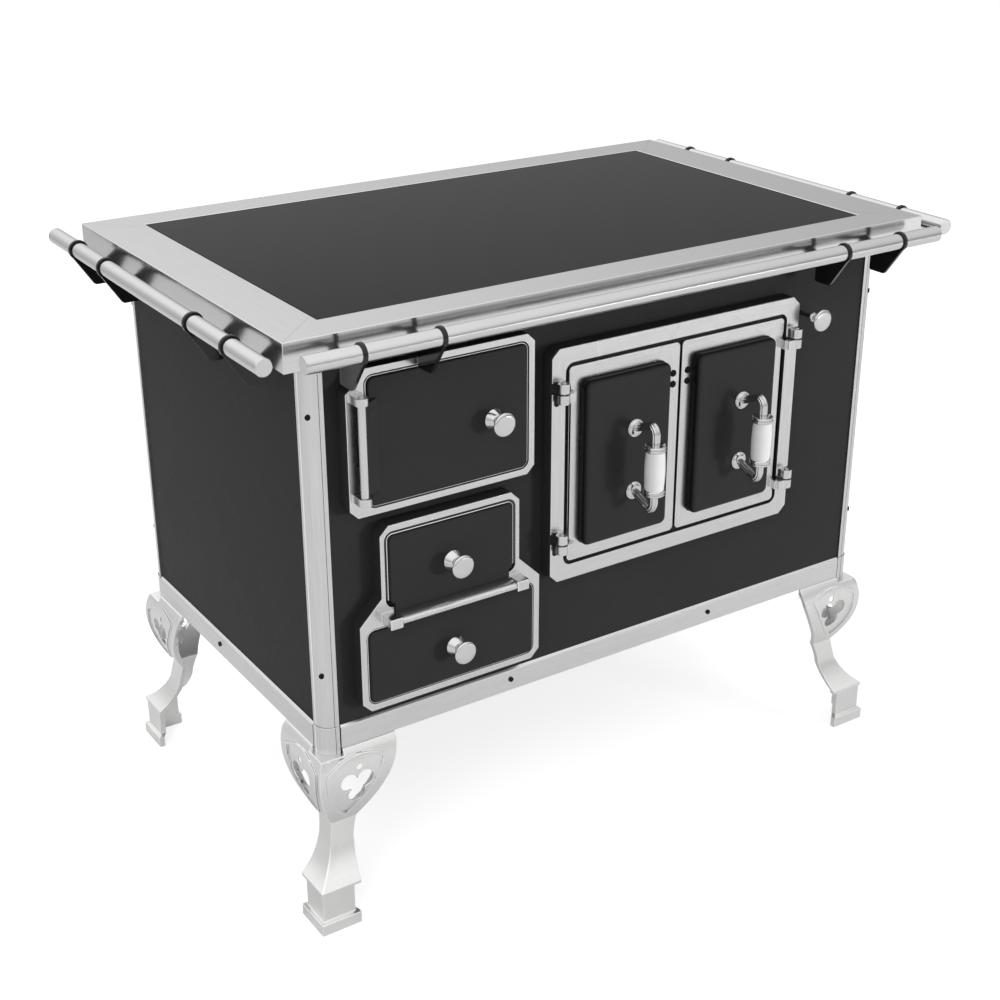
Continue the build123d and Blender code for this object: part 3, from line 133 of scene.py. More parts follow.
def between(tree, share, first, second):
    """Value that goes from the first to the second as the share goes from 0 to 1."""
    return add(tree, "ShaderNodeMix", {"data_type": "FLOAT"}, _0=share, _2=first,
               _3=second).outputs[0]


def tint(tree, value, dark, light):
    """Colour between two hex colours."""
    mix = add(tree, "ShaderNodeMix", {"data_type": "RGBA"}, _0=value, _6=linear(dark),
              _7=linear(light))
    return mix.outputs[2]


def relief(tree, surface, height, depth, strength=1.0, under=None):
    """Bump of a depth in metres on the surface."""
    bump = add(tree, "ShaderNodeBump", None, Height=height, Distance=depth, Strength=strength)
    if under is not None:
        tree.links.new(under, bump.inputs["Normal"])
    tree.links.new(bump.outputs[0], surface.inputs["Normal"])
    return bump.outputs[0]


# ---------------------------------------------------------------- materials
# Noise cells per metre, from the size of the real mark.
PEEL_CELLS = 260.0      # the orange peel of enamel, 4 mm
POOL_CELLS = 9.0        # slow changes in the thickness of enamel, 110 mm
BRUSH_CELLS = 450.0     # brushed lines 2 mm apart, far coarser than real grit, so that they show
BRUSH_STRETCH = 0.03    # a brushed line is 33 times as long as it is wide

# Depths of the marks in metres.
PEEL_DEPTH = 0.00006
BRUSH_DEPTH = 0.00002


def vitreous_enamel(name, dark, light, rough, specular):
    """Vitreous enamel, fired on steel: a deep, soft gloss with a faint orange peel."""
    material, tree, surface = new_material(name, IOR=1.5, Specular_IOR_Level=specular)
    at = place(tree)
    cloud = noise(tree, at, POOL_CELLS, 3.0)
    peel = noise(tree, at, PEEL_CELLS, 2.0)
    tree.links.new(tint(tree, cloud, dark, light), surface.inputs["Base Color"])
    tree.links.new(spread(tree, cloud, rough * 0.85, rough * 1.2), surface.inputs["Roughness"])
    relief(tree, surface, peel, PEEL_DEPTH)
    return material


def enamel_with_painted_side_shade(name, face, deep, rough, specular, face_y, drop):
    """Vitreous enamel on a pressed panel, darker on its sides with painted shade.

    The painted shade deepens with the distance behind the face's plane, over a drop in metres.
    """
    material, tree, surface = new_material(name, IOR=1.5, Specular_IOR_Level=specular)
    at = place(tree)
    depth = add(tree, "ShaderNodeSeparateXYZ", None, Vector=at).outputs[1]
    share = spread(tree, depth, 0.0, 1.0, face_y + 0.0004, face_y + drop)
    cloud = spread(tree, noise(tree, at, POOL_CELLS, 3.0), -0.05, 0.05)
    share = maths(tree, "ADD", share, cloud)
    tree.links.new(tint(tree, share, face, deep), surface.inputs["Base Color"])
    tree.links.new(spread(tree, share, rough, rough * 0.7, 0, 1), surface.inputs["Roughness"])
    relief(tree, surface, noise(tree, at, PEEL_CELLS, 2.0), PEEL_DEPTH)
    return material


def fine_line(tree, colour, offset, width, shade):
    """Colour with a line of another shade where the offset is under half the width, in metres."""
    line = maths(tree, "LESS_THAN", maths(tree, "ABSOLUTE", offset), width / 2)
    return add(tree, "ShaderNodeMix", {"data_type": "RGBA"}, _0=line, _6=colour,
               _7=linear(shade)).outputs[2]


def brushed_along(name, dark, light, rough, grain, joints=None):
    """Metal brushed in one direction: soft streaks that stretch each reflection across them.

    Seam and highlight give the distances from the middle, on X and on Y, of two lines along a
    folded edge: a dark seam on the front, and a white painted highlight on the sides.
    """
    material, tree, surface = new_material(name, Metallic=1.0)
    at = place(tree)
    lines = noise(tree, place(tree, grain), BRUSH_CELLS, 3.0, 0.6)
    cloud = noise(tree, at, 5.0, 2.0)
    colour = tint(tree, spread(tree, lines, 0, 1), dark, light)
    if joints:
        parts = add(tree, "ShaderNodeSeparateXYZ", None, Vector=at).outputs
        # A dark seam line across X, and a white painted highlight line across Y.
        for axis, width, shade in ((0, 0.0008, "#5E5E5F"), (1, 0.0025, "#FFFFFF")):
            offset = maths(tree, "SUBTRACT", maths(tree, "ABSOLUTE", parts[axis]), joints[axis])
            colour = fine_line(tree, colour, offset, width, shade)
    tree.links.new(colour, surface.inputs["Base Color"])
    tree.links.new(spread(tree, cloud, rough * 0.85, rough * 1.15), surface.inputs["Roughness"])
    relief(tree, surface, lines, BRUSH_DEPTH, 0.6)
    return material


def brushed_border(name, dark, light, rough, axes, centre, half, seam=0.0):
    """Metal strips that meet in mitres round a rectangle, each brushed along its own length.

    The strips at the rectangle's sides are where the point is nearer to a side than to an end.
    A seam, given by its width, shows as a dark line along the mitres.
    """
    material, tree, surface = new_material(name, Metallic=1.0)
    parts = add(tree, "ShaderNodeSeparateXYZ", None, Vector=place(tree)).outputs
    offsets = []
    for axis, middle, reach in zip(axes, centre, half):
        away = maths(tree, "ABSOLUTE", maths(tree, "SUBTRACT", parts[axis], middle))
        offsets.append(maths(tree, "SUBTRACT", away, reach))
    gap = maths(tree, "SUBTRACT", offsets[0], offsets[1])
    upright = maths(tree, "GREATER_THAN", gap, 0.0)
    along = [1.0, 1.0, 1.0]
    across = [1.0, 1.0, 1.0]
    along[axes[0]] = BRUSH_STRETCH
    across[axes[1]] = BRUSH_STRETCH
    lines = between(tree, upright, noise(tree, place(tree, along), BRUSH_CELLS, 3.0, 0.6),
                    noise(tree, place(tree, across), BRUSH_CELLS, 3.0, 0.6))
    cloud = noise(tree, place(tree), 6.0, 2.0)
    colour = tint(tree, spread(tree, lines, 0, 1), dark, light)
    if seam:
        colour = fine_line(tree, colour, gap, seam, "#2A2A2A")
    tree.links.new(colour, surface.inputs["Base Color"])
    tree.links.new(spread(tree, cloud, rough * 0.85, rough * 1.15), surface.inputs["Roughness"])
    relief(tree, surface, lines, BRUSH_DEPTH, 0.6)
    return material


def polished_metal(name, dark, light, rough):
    """Nickel or chrome plate polished by hand: a mirror with faint waves about 20 mm long."""
    material, tree, surface = new_material(name, Metallic=1.0)
    cloud = noise(tree, place(tree), 14.0, 3.0)     # polish that varies over 70 mm
    wave = noise(tree, place(tree), 50.0, 1.0)      # waves 20 mm long
    tree.links.new(tint(tree, cloud, dark, light), surface.inputs["Base Color"])
    tree.links.new(spread(tree, cloud, rough * 0.7, rough * 1.3), surface.inputs["Roughness"])
    relief(tree, surface, wave, 0.00005)
    return material


def plated_casting(name, dark, light, rough):
    """Nickel-plated cast iron: bright, with the soft unevenness that the sand mould leaves."""
    material, tree, surface = new_material(name, Metallic=1.0)
    sand = noise(tree, place(tree), 420.0, 3.0)     # 2.4 mm, coarser than sand, so that it shows
    wave = noise(tree, place(tree), 45.0, 2.0)      # the pattern's own unevenness, 22 mm
    tree.links.new(tint(tree, wave, dark, light), surface.inputs["Base Color"])
    tree.links.new(spread(tree, sand, rough * 0.8, rough * 1.2), surface.inputs["Roughness"])
    under = relief(tree, surface, wave, 0.0004, 0.5)
    relief(tree, surface, sand, 0.00006, 0.5, under)
    return material


def plain_surface(name, dark, light, rough, cells, depth, metallic=0.0, specular=0.5):
    """Matt surface with an even mottle of 80 mm and a grain, such as bare iron, brick or sheet.

    The grain is given by its cells per metre and its depth in metres.
    """
    material, tree, surface = new_material(name, Metallic=metallic, Specular_IOR_Level=specular)
    grain = noise(tree, place(tree), cells, 4.0, 0.6)
    cloud = spread(tree, noise(tree, place(tree), 12.0, 3.0), 0, 1)
    tree.links.new(tint(tree, cloud, dark, light), surface.inputs["Base Color"])
    tree.links.new(spread(tree, grain, rough * 0.85, min(1.0, rough * 1.15)),
                   surface.inputs["Roughness"])
    relief(tree, surface, grain, depth)
    return material


def hob_glass_material():
    """Glass ceramic of a hob: near black, smooth, with a faint cloudiness in its gloss."""
    material, tree, surface = new_material("black_glass_ceramic", IOR=1.5,
                                           Specular_IOR_Level=0.029)
    cloud = noise(tree, place(tree), 6.0, 2.0)      # the slow waves of rolled glass, 170 mm
    speck = noise(tree, place(tree), 900.0, 1.0)    # specks in the glass ceramic, 1.1 mm
    tree.links.new(tint(tree, speck, "#151516", "#1B1B1C"), surface.inputs["Base Color"])
    tree.links.new(spread(tree, cloud, 0.07, 0.12), surface.inputs["Roughness"])
    relief(tree, surface, cloud, 0.0001, 0.3)
    return material


def porcelain_material():
    """Glazed white porcelain: a soft white body under a clear, wet-looking glaze."""
    material, tree, surface = new_material("glazed_porcelain", IOR=1.5, Coat_Weight=0.8,
                                           Coat_Roughness=0.03)
    cloud = noise(tree, place(tree), 60.0, 3.0)     # glaze that runs over 17 mm
    tree.links.new(tint(tree, cloud, "#E2E2E1", "#ECECEB"), surface.inputs["Base Color"])
    tree.links.new(spread(tree, cloud, 0.16, 0.24), surface.inputs["Roughness"])
    relief(tree, surface, cloud, 0.00004)
    return material


def middle_and_half(name, axes):
    """Middle and half size of a node's box on two axes."""
    low, high = (np.array(corner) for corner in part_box(name))
    return ([float((low + high)[a] / 2) for a in axes], [float((high - low)[a] / 2) for a in axes])


UPRIGHT_GRAIN = (1, 1, BRUSH_STRETCH)
POST_SEAM_AND_HIGHLIGHT = [abs(edge) + 6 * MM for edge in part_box("corner_post_front_left")[1][:2]]
FRAME_DARK, FRAME_LIGHT = "#D4D4D5", "#DFDFDF"
finish = {
    # Enamelled sheet: charcoal black, with the room as a soft grey bloom in its gloss.
    "black_enamel": vitreous_enamel("black_vitreous_enamel", "#303031", "#343435", 0.26, 0.03),
    # Stainless sheet brushed in strips: a silvery sheen that turns at each mitre.
    "stainless_border": brushed_border("brushed_stainless_border", "#D8D8D9", "#DEDEDE", 0.16,
                                       (0, 1), *middle_and_half("worktop_border", (0, 1)),
                                       0.0004),
    # Folded stainless sheet with a satin grain: pale and even, with a dark seam and a painted
    # highlight at its folds.
    "stainless_satin": brushed_along("satin_stainless", "#D4D4D5", "#E0E0E0", 0.26,
                                     UPRIGHT_GRAIN, POST_SEAM_AND_HIGHLIGHT),
    # Nickel-plated trim: a pale grey between satin and mirror.
    "polished_frame": brushed_along("brushed_nickel_trim", FRAME_DARK, FRAME_LIGHT, 0.24,
                                    UPRIGHT_GRAIN),
    # Polished steel tube: long bright and dark streaks of the room along its length.
    "polished_rail": polished_metal("polished_steel_rail", "#D4D4D5", "#DCDCDC", 0.13),
    # Nickel plate on sand-cast iron: the brightest metal here, soft and a little uneven.
    "nickel_casting": plated_casting("nickel_plated_casting", "#EAEAE9", "#F1F1F0", 0.34),
    # Chrome plate on turned brass: a near mirror with crisp dark and white rings.
    "chrome": polished_metal("bright_chrome", "#D2D2D3", "#DCDCDD", 0.06),
    "black_glass": hob_glass_material(),
    # Blackened screw heads: flat black dots.
    "black_oxide": plain_surface("black_oxide_screw", "#0E0E0E", "#161616", 0.5, 900, 0.00003,
                                 0.0, 0.12),
    "porcelain": porcelain_material(),
    # Turned pins and rods: a clean mid-grey shine.
    "steel_pin": polished_metal("turned_steel", "#B8B8B8", "#C8C8C8", 0.18),
    # Bare sheet inside the body: dull grey with a mill grain.
    "steel_sheet": plain_surface("plain_steel_sheet", "#858586", "#98989A", 0.42, 500, 0.00004,
                                 1.0),
    # Plated wire: bright lines across a dark oven.
    "rack_wire": polished_metal("plated_wire", "#BEBEBF", "#D0D0D0", 0.15),
    # Bare cast iron: dark, rough and almost without shine.
    "cast_iron": plain_surface("bare_cast_iron", "#2A2A2A", "#353535", 0.62, 700, 0.0003, 0.4),
    # Pressed fireclay: matt sandy brick.
    "firebrick": plain_surface("pressed_firebrick", "#A88F6E", "#BCA483", 0.95, 450, 0.0006),
}

# Edges where polish and wear leave the metal bare and bright, brightened further as a painted
# highlight.
wear_and_highlight_edge = polished_metal("worn_metal_with_painted_highlight", "#E4E4E4", "#EDEDED", 0.22)
cast_wear_and_highlight_edge = polished_metal("cast_metal_with_painted_highlight", "#F6F6F6", "#FCFCFC", 0.30)

# Sheet turned inwards: a darker copy of the plain steel sheet, painted shade for the dark gap
# beside it.
shaded_lip = plain_surface("shaded_steel_lip", "#4C4C4D", "#5A5A5A", 0.35, 500, 0.00003, 1.0)

own_finish = {}
for name in FRAMES:
    own_finish[name] = brushed_border("brushed_" + name, FRAME_DARK, FRAME_LIGHT, 0.27, (0, 2),
                                      *middle_and_half(name, (0, 2)))
own_finish["base_rails"] = brushed_border("brushed_base_rails", "#DADADB", "#E4E4E4", 0.28,
                                          (0, 1), *middle_and_half("base_rails", (0, 1)))
# Oven panels: enamel with painted shade on their sides behind the face.
for name in OVEN_PANELS:
    own_finish[name] = enamel_with_painted_side_shade("pressed_" + name, "#303031", "#101011", 0.26, 0.06,
                                     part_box(name)[0][1], 4 * MM)
own_finish["rail_brackets"] = vitreous_enamel("gloss_black_bracket", "#141415", "#19191A",
                                              0.12, 0.4)
for row in frame["record"]["subparts"]:
    for material_slot in nodes[row["node"]].material_slots:
        material_slot.material = own_finish.get(row["node"], finish[row["material_slot"]])


# ---------------------------------------------------------------- surfaces
def skin(grid, round_and_round=False):
    """Vertices and faces over a grid of points whose rows are closed rings.

    Neighbouring rows are joined by quads.  The first and last rows are closed by fans to their
    middles, or joined to each other when the rows themselves go round.
    """
    rows, columns = grid.shape[:2]
    last = rows if round_and_round else rows - 1
    row = np.arange(last)[:, None] * columns
    next_row = (np.arange(1, last + 1)[:, None] % rows) * columns
    column = np.arange(columns)[None, :]
    next_column = (column + 1) % columns
    quads = np.stack([row + column, row + next_column, next_row + next_column,
                      next_row + column], -1)
    vertices = grid.reshape(-1, 3)
    faces = quads.reshape(-1, 4).tolist()
    if not round_and_round:
        vertices = np.vstack([vertices, grid[0].mean(0), grid[-1].mean(0)])
        here, onward = column[0], next_column[0]
        foot = np.full(columns, rows * columns)
        end = (rows - 1) * columns
        faces += np.stack([onward, here, foot], -1).tolist()
        faces += np.stack([end + here, end + onward, foot + 1], -1).tolist()
    return vertices, faces


def piece(name, surfaces, finish_slot, body, crease=40.0, material=None):
    """One object made of several surfaces, smooth except over creases, that rides on a body."""
    vertices = []
    faces = []
    for points, polygons in surfaces:
        start = sum(len(block) for block in vertices)
        vertices.append(points)
        faces += [[corner + start for corner in polygon] for polygon in polygons]
    mesh = bpy.data.meshes.new(name)
    mesh.from_pydata(np.vstack(vertices).tolist(), [], faces)
    shape = bmesh.new()
    shape.from_mesh(mesh)
    bmesh.ops.recalc_face_normals(shape, faces=shape.faces)
    shape.to_mesh(mesh)
    shape.free()
    mesh.polygons.foreach_set("use_smooth", np.ones(len(mesh.polygons), bool))
    mesh.set_sharp_from_angle(angle=math.radians(crease))
    mesh.materials.append(material or finish[finish_slot])
    made = bpy.data.objects.new(name, mesh)
    scene.collection.objects.link(made)
    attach(made, body)
    return made


def soft_outline(corners, steps=5):
    """Outline through corners (x, y, reach), each corner turned into a short parabola.

    Between a and b, reach before and after the corner p: (1 - t)^2 a + 2 t (1 - t) p + t^2 b.
    A point that repeats the one before it, where two bends meet, is left out.
    """
    corners = np.array(corners, float)
    middle, reach = corners[1:-1, :2], corners[1:-1, 2:3]
    back = corners[:-2, :2] - middle
    onward = corners[2:, :2] - middle
    back *= np.minimum(reach / np.linalg.norm(back, axis=1, keepdims=True), 0.5)
    onward *= np.minimum(reach / np.linalg.norm(onward, axis=1, keepdims=True), 0.5)
    a, p, b = (middle + back)[:, None], middle[:, None], (middle + onward)[:, None]
    t = np.linspace(0, 1, steps)[None, :, None]
    bends = (1 - t) ** 2 * a + 2 * t * (1 - t) * p + t ** 2 * b
    outline = np.vstack([corners[:1, :2], bends.reshape(-1, 2), corners[-1:, :2]])
    moved = np.linalg.norm(np.diff(outline, axis=0), axis=1) > 1e-6
    return outline[np.r_[True, moved]]


def turned(outline, foot, axis, sides=72):
    """Turned surface: foot + height * axis + radius * (cos a * side + sin a * rise).

    The outline gives (radius, height) in millimetres and starts and ends near the axis.
    """
    axis = np.array(axis, float)
    side = np.cross(axis, [0.0, 0.0, 1.0] if abs(axis[2]) < 0.9 else [1.0, 0.0, 0.0])
    rise = np.cross(axis, side)
    angle = np.linspace(0, 2 * math.pi, sides, endpoint=False)[:, None]
    ring = np.cos(angle) * side + np.sin(angle) * rise
    radius, height = (np.array(outline) * MM).T
    grid = np.array(foot) + height[:, None, None] * axis + radius[:, None, None] * ring
    return skin(grid)


def matrix_of(columns):
    """Transform whose columns are a side, a rise and a depth direction and a place."""
    matrix = Matrix.Identity(4)
    for column, values in enumerate(columns):
        for row_number in range(3):
            matrix[row_number][column] = values[row_number]
    return matrix


def box_of(node):
    """Lowest and highest corner of a node as arrays."""
    return [np.array(corner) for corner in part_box(node)]


def stands_for(name, surfaces, node, crease=40.0):
    """A piece in the place of a CAD node, with its body and finish."""
    made = piece(name, surfaces, slot_of[node], nodes[node]["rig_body"], crease)
    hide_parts(node)
    return made


# ---------------------------------------------------------------- knobs
def knob(node, base_radius=14.0, neck_radius=6.2):
    """Turned chrome knob: base, open cone, ringed neck and a disc with a low dome and soft rim.

    The cone leans about 40 degrees from the axis, so that it mirrors the room and not the door.
    Radii and heights are millimetres.
    """
    low, high = box_of(node)
    length = (high[1] - low[1]) / MM
    radius = (high[0] - low[0]) / 2 / MM
    disc = length - 6.4
    neck = min(1.4 + (base_radius - neck_radius - 0.8) * 1.2, disc - 4.5)
    outline = soft_outline([
        (0.01, 0, 0), (base_radius, 0, 0.3), (base_radius, 1.0, 0.5),
        (neck_radius + 1.6, neck - 0.4, 1.6), (neck_radius + 0.4, neck + 0.2, 0.4),
        (neck_radius + 1.4, neck + 1.1, 0.6), (neck_radius + 1.2, neck + 2.2, 0.6),
        (neck_radius, neck + 3.0, 0.4), (neck_radius, disc - 1.0, 0.8),
        (neck_radius + 3.0, disc + 0.2, 1.2), (radius - 1.6, disc + 0.9, 1.0),
        (radius, disc + 2.2, 1.0), (radius, length - 2.7, 1.4),
        (radius - 1.8, length - 1.0, 1.4), (radius - 5.0, length - 0.4, 1.0), (0.01, length, 0)])
    foot = ((low[0] + high[0]) / 2, high[1], (low[2] + high[2]) / 2)
    stands_for("turned_" + node, [turned(outline, foot, (0, -1, 0), 96)], node)


for name in ("fire_door_knob", "ash_flap_knob", "drawer_knob"):
    knob(name)
knob("damper_knob", 7.5, 4.4)


# ---------------------------------------------------------------- oven handles
ROSETTE_REACH = 44.6 * MM       # from the middle of the handle to the middle of a rosette
FLUTES = 10
FLUTE_DEPTH = 0.14              # share of the arm's radius
GRIP_RADIUS = 14.0              # porcelain grip at its middle, in millimetres
GRIP_TAPER = 1.7                # and how much less it is at its ends


def fluted_arm(x, z, side, face_y, grip_y, end_z):
    """Fluted arm that leaves the door spreading by 22 degrees and bends round to the grip.

    The path is a straight run, an arc of 13 mm radius, bend * (-sin a, side * cos a), and a run
    down to the ferrule.  Its section is r = R (1 - d (1 - cos 10 a) / 2), ten shallow flutes.
    """
    slope, bend, radius = math.radians(22), 13 * MM, 5.6 * MM
    centre_y = grip_y + bend
    start_y = centre_y - bend * math.sin(slope)
    start_z = z + side * (face_y - start_y) * math.tan(slope)
    centre_z = start_z - side * bend * math.cos(slope)
    straight = np.linspace((face_y, z), (start_y, start_z), 6, endpoint=False)
    angle = np.linspace(slope, math.pi / 2, 18)
    arc = np.stack([centre_y - bend * np.sin(angle), centre_z + side * bend * np.cos(angle)], -1)
    run = np.linspace((grip_y, centre_z), (grip_y, end_z), 5)[1:]
    path = np.vstack([straight, arc, run])
    tangent = np.gradient(path, axis=0)
    tangent /= np.linalg.norm(tangent, axis=1, keepdims=True)
    turn = np.linspace(0, 2 * math.pi, 120, endpoint=False)
    flutes = radius * (1 - FLUTE_DEPTH * (1 - np.cos(FLUTES * turn)) / 2)
    across = (flutes * np.cos(turn))[None, :]
    outward = (flutes * np.sin(turn))[None, :]
    grid = np.stack([x + across + 0 * path[:, :1], path[:, :1] + outward * tangent[:, 1:],
                     path[:, 1:] - outward * tangent[:, :1]], -1)
    return skin(grid)


# Outlines of the rosette and the ferrule, (radius, height, reach) in millimetres.
ROSETTE = soft_outline([(0.01, 0, 0), (12.5, 0, 0.2), (12.5, 1.4, 0.5), (11.4, 2.0, 0.4),
                        (10.6, 1.8, 0.3), (9.6, 3.0, 1.0), (6.6, 4.2, 1.0), (0.01, 4.4, 0)])
FERRULE = soft_outline([(0.01, -2.4, 0), (13.2, -2.4, 0.2), (13.9, -1.6, 0.6), (14.5, 0.2, 0.8),
                        (14.0, 1.5, 0.5), (12.7, 1.9, 0.3), (12.7, 2.7, 0.3), (14.0, 3.1, 0.5),
                        (14.4, 4.3, 0.9), (13.4, 5.8, 0.8), (10.6, 6.1, 0.4), (7.2, 6.5, 0.6),
                        (0.01, 6.5, 0)])


def oven_handle(side_name):
    """Bow handle: domed rosettes, fluted arms, ringed ferrules and a barrel-shaped grip.

    The grip's radius is GRIP_RADIUS - GRIP_TAPER * (height / reach)^2.
    """
    grip_low, grip_high = box_of("oven_" + side_name + "_grip")
    x, grip_y, middle_z = (grip_low + grip_high) / 2
    half = (grip_high[2] - grip_low[2]) / 2
    face_y = box_of("oven_" + side_name + "_panel")[0][1]
    surfaces = []
    for side in (-1, 1):
        z = middle_z + side * ROSETTE_REACH
        end = middle_z + side * (half + 0.2 * MM)
        surfaces.append(turned(ROSETTE, (x, face_y, z), (0, -1, 0)))
        surfaces.append(turned(FERRULE, (x, grip_y, end), (0, 0, side)))
        surfaces.append(fluted_arm(x, z, side, face_y, grip_y, end))
    stands_for("fluted_handle_" + side_name, surfaces, "oven_" + side_name + "_handle", 50)
    reach = half / MM
    height = np.linspace(-reach, reach, 25)
    swell = GRIP_RADIUS - GRIP_TAPER * (height / reach) ** 2
    barrel = np.stack([np.r_[0.01, swell, 0.01], np.r_[-reach, height, reach]], -1)
    stands_for("porcelain_" + side_name, [turned(barrel, (x, grip_y, middle_z), (0, 0, 1))],
               "oven_" + side_name + "_grip")


oven_handle("left")
oven_handle("right")


# ---------------------------------------------------------------- screws
def catch_screws(node):
    """Two domed cap screws with a round socket."""
    low, high = box_of(node)
    radius = (high[0] - low[0]) / 2 / MM
    head = soft_outline([(0.01, 0, 0), (radius, 0, 0.2), (radius, 0.9, 0.7),
                         (radius - 1.4, 1.7, 0.7), (2.1, 1.9, 0.3), (1.7, 0.7, 0.2),
                         (0.01, 0.6, 0)], 4)
    x = (low[0] + high[0]) / 2
    surfaces = [turned(head, (x, high[1], z), (0, -1, 0), 36)
                for z in (low[2] + radius * MM, high[2] - radius * MM)]
    stands_for("socket_" + node, surfaces, node)


catch_screws("oven_left_screws")
catch_screws("oven_right_screws")


# ---------------------------------------------------------------- lips inside the openings
FACE_Y = -0.291         # the polished frames' front face


def lip(name, centre, size, radius, gap, shade, open_foot=False):
    """Stepped lip in an opening: a slope inwards from the frame and a bright bead beside the door.

    Each section of (inset, depth) in millimetres is carried round the rounded rectangle: corner
    middle + (radius - inset) * (cos a, sin a), at a depth behind the frame's face.  The gap is the
    one between the opening and the door, and an open foot leaves out the strip along the bottom.
    """
    quarter = np.linspace(0, math.pi / 2, 10)
    signs = np.array([(1, 1), (-1, 1), (-1, -1), (1, -1)][:2 if open_foot else 4], float)
    angle = (np.arange(len(signs))[:, None] * math.pi / 2 + quarter).ravel()
    middle = np.repeat(signs * (np.array(size) / 2 - radius), len(quarter), axis=0)
    outward = np.stack([np.cos(angle), np.sin(angle)], -1)
    if open_foot:
        drop = -size[1] / 2 + 11 * MM
        middle = np.vstack([(middle[0, 0], drop), middle, (middle[-1, 0], drop)])
        outward = np.vstack([(1, 0), outward, (-1, 0)])
    bead = gap - 1.0
    deep = 3.6
    slope = [(-0.3, deep), (-0.3, 0.9), (0.15, 0.7), (bead - 1.4, 2.0), (bead - 1.4, deep)]
    edge = [(bead - 1.4, deep), (bead - 1.3, 1.2), (bead - 0.9, 0.8), (bead - 0.4, 0.8),
            (bead, 1.2), (bead, deep)]
    for part, section, slot, material in (("slope", slope, "steel_sheet", shade),
                                          ("bead", edge, "polished_frame", wear_and_highlight_edge)):
        inset, depth = np.array(section).T * MM
        flat = middle[:, None] + (radius - inset)[None, :, None] * outward[:, None]
        grid = np.stack([centre[0] + flat[..., 0], FACE_Y + depth + 0 * flat[..., 0],
                         centre[1] + flat[..., 1]], -1)
        piece(name + "_" + part, [skin(grid, not open_foot)], slot, "stove", 30, material)


# Each opening's middle (x, z) and size, its corner radius, and the gap round its door in mm.
column_x = (box_of("drawer_front")[0][0] + box_of("drawer_front")[1][0]) / 2
lip("fire_opening_lip", (column_x, 0.67335), (0.233, 0.1707), 0.012, 4.0, finish["black_enamel"])
# The flap's slope takes the darker steel of painted shade.
lip("flap_opening_lip", (column_x, 0.4994), (0.1927, 0.1038), 0.012, 5.5, shaded_lip, True)
lip("drawer_opening_lip", (column_x, 0.3709), (0.251, 0.107), 0.012, 3.0, finish["black_enamel"])


# ---------------------------------------------------------------- the flap's rolled edge
def rolled_edge(node, face_y):
    """Polished sheet that rolls from the flap's face over the web and round the hinge barrel.

    Its section is a quarter of an ellipse, (face - L sin t, axis + H cos t), and a quarter circle
    back under the barrel, carried along the barrel.
    """
    low, high = box_of(node)
    axis_y, axis_z = (low[1] + high[1]) / 2, (low[2] + high[2]) / 2
    front = low[1] - 0.9 * MM
    rise, tuck = 7.4 * MM, 4.6 * MM
    turn = np.radians(np.linspace(2, 90, 26))
    roll = np.stack([face_y - (face_y - front) * np.sin(turn), axis_z + rise * np.cos(turn)], -1)
    turn = np.radians(np.linspace(0, 90, 12))[1:]
    under = np.stack([front + tuck * (1 - np.cos(turn)), axis_z - tuck * np.sin(turn)], -1)
    section = np.vstack([[(face_y + 0.3 * MM, axis_z + 6.0 * MM)], roll, under,
                         [(axis_y + 3.0 * MM, axis_z - 2.0 * MM)]])[None]
    along = np.linspace(low[0], high[0], 9)[:, None]
    grid = np.stack([along + 0 * section[..., 0], section[..., 0] + 0 * along,
                     section[..., 1] + 0 * along], -1)
    stands_for("rolled_flap_edge", [skin(grid)], node, 35)


rolled_edge("ash_flap_hinge", -0.2935)


# ---------------------------------------------------------------- eased edges
MERGE = 2e-6                            # distance under which two vertices are one
EDGE_ANGLE = math.radians(32.0)         # folds sharper than this are edges
FLAT_ANGLE = math.radians(0.5)          # folds flatter than this are no folds at all


def eased(node, width, edge=None, clamp=False):
    """A node's own shape with its triangles merged and its sharp edges rounded to a width in mm.

    The narrow rounding takes the edge finish, bright from polish and wear and from a painted
    highlight.  Clamping keeps the roundings of a thin piece from running into each other.
    """
    mesh = nodes[node].data.copy()
    mesh.name = "eased_" + node
    shape = bmesh.new()
    shape.from_mesh(mesh)
    bmesh.ops.remove_doubles(shape, verts=shape.verts, dist=MERGE)
    bmesh.ops.dissolve_limit(shape, angle_limit=FLAT_ANGLE, verts=shape.verts, edges=shape.edges)
    bmesh.ops.triangulate(shape, faces=[face for face in shape.faces if len(face.verts) > 4])
    bmesh.ops.recalc_face_normals(shape, faces=shape.faces)
    shape.to_mesh(mesh)
    shape.free()
    if "custom_normal" in mesh.attributes:
        mesh.attributes.remove(mesh.attributes["custom_normal"])
    mesh.polygons.foreach_set("use_smooth", np.ones(len(mesh.polygons), bool))
    mesh.set_sharp_from_angle(angle=EDGE_ANGLE)
    main = nodes[node].material_slots[0].material
    mesh.materials.clear()
    mesh.materials.append(main)
    mesh.materials.append(edge or main)
    made = bpy.data.objects.new("eased_" + node, mesh)
    scene.collection.objects.link(made)
    rounding = made.modifiers.new("rounding", "BEVEL")
    rounding.width = width * MM
    rounding.segments = 2
    rounding.limit_method = "ANGLE"
    rounding.angle_limit = EDGE_ANGLE
    rounding.use_clamp_overlap = clamp
    rounding.loop_slide = False
    rounding.harden_normals = True
    rounding.material = 1
    if clamp:
        made.modifiers.new("weld", "WELD").merge_threshold = MERGE
    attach(made, nodes[node]["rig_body"])
    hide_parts(node)


for name in FRAMES:
    eased(name, 0.7, wear_and_highlight_edge)
eased("worktop_border", 0.9, wear_and_highlight_edge)
eased("base_rails", 0.9, wear_and_highlight_edge, clamp=True)
eased("post_shoes", 0.9, wear_and_highlight_edge, clamp=True)
for name in LEGS:
    eased(name, 1.1, cast_wear_and_highlight_edge)
for name in SURROUNDS:
    eased(name, 1.0)
eased("rail_brackets", 0.8, clamp=True)


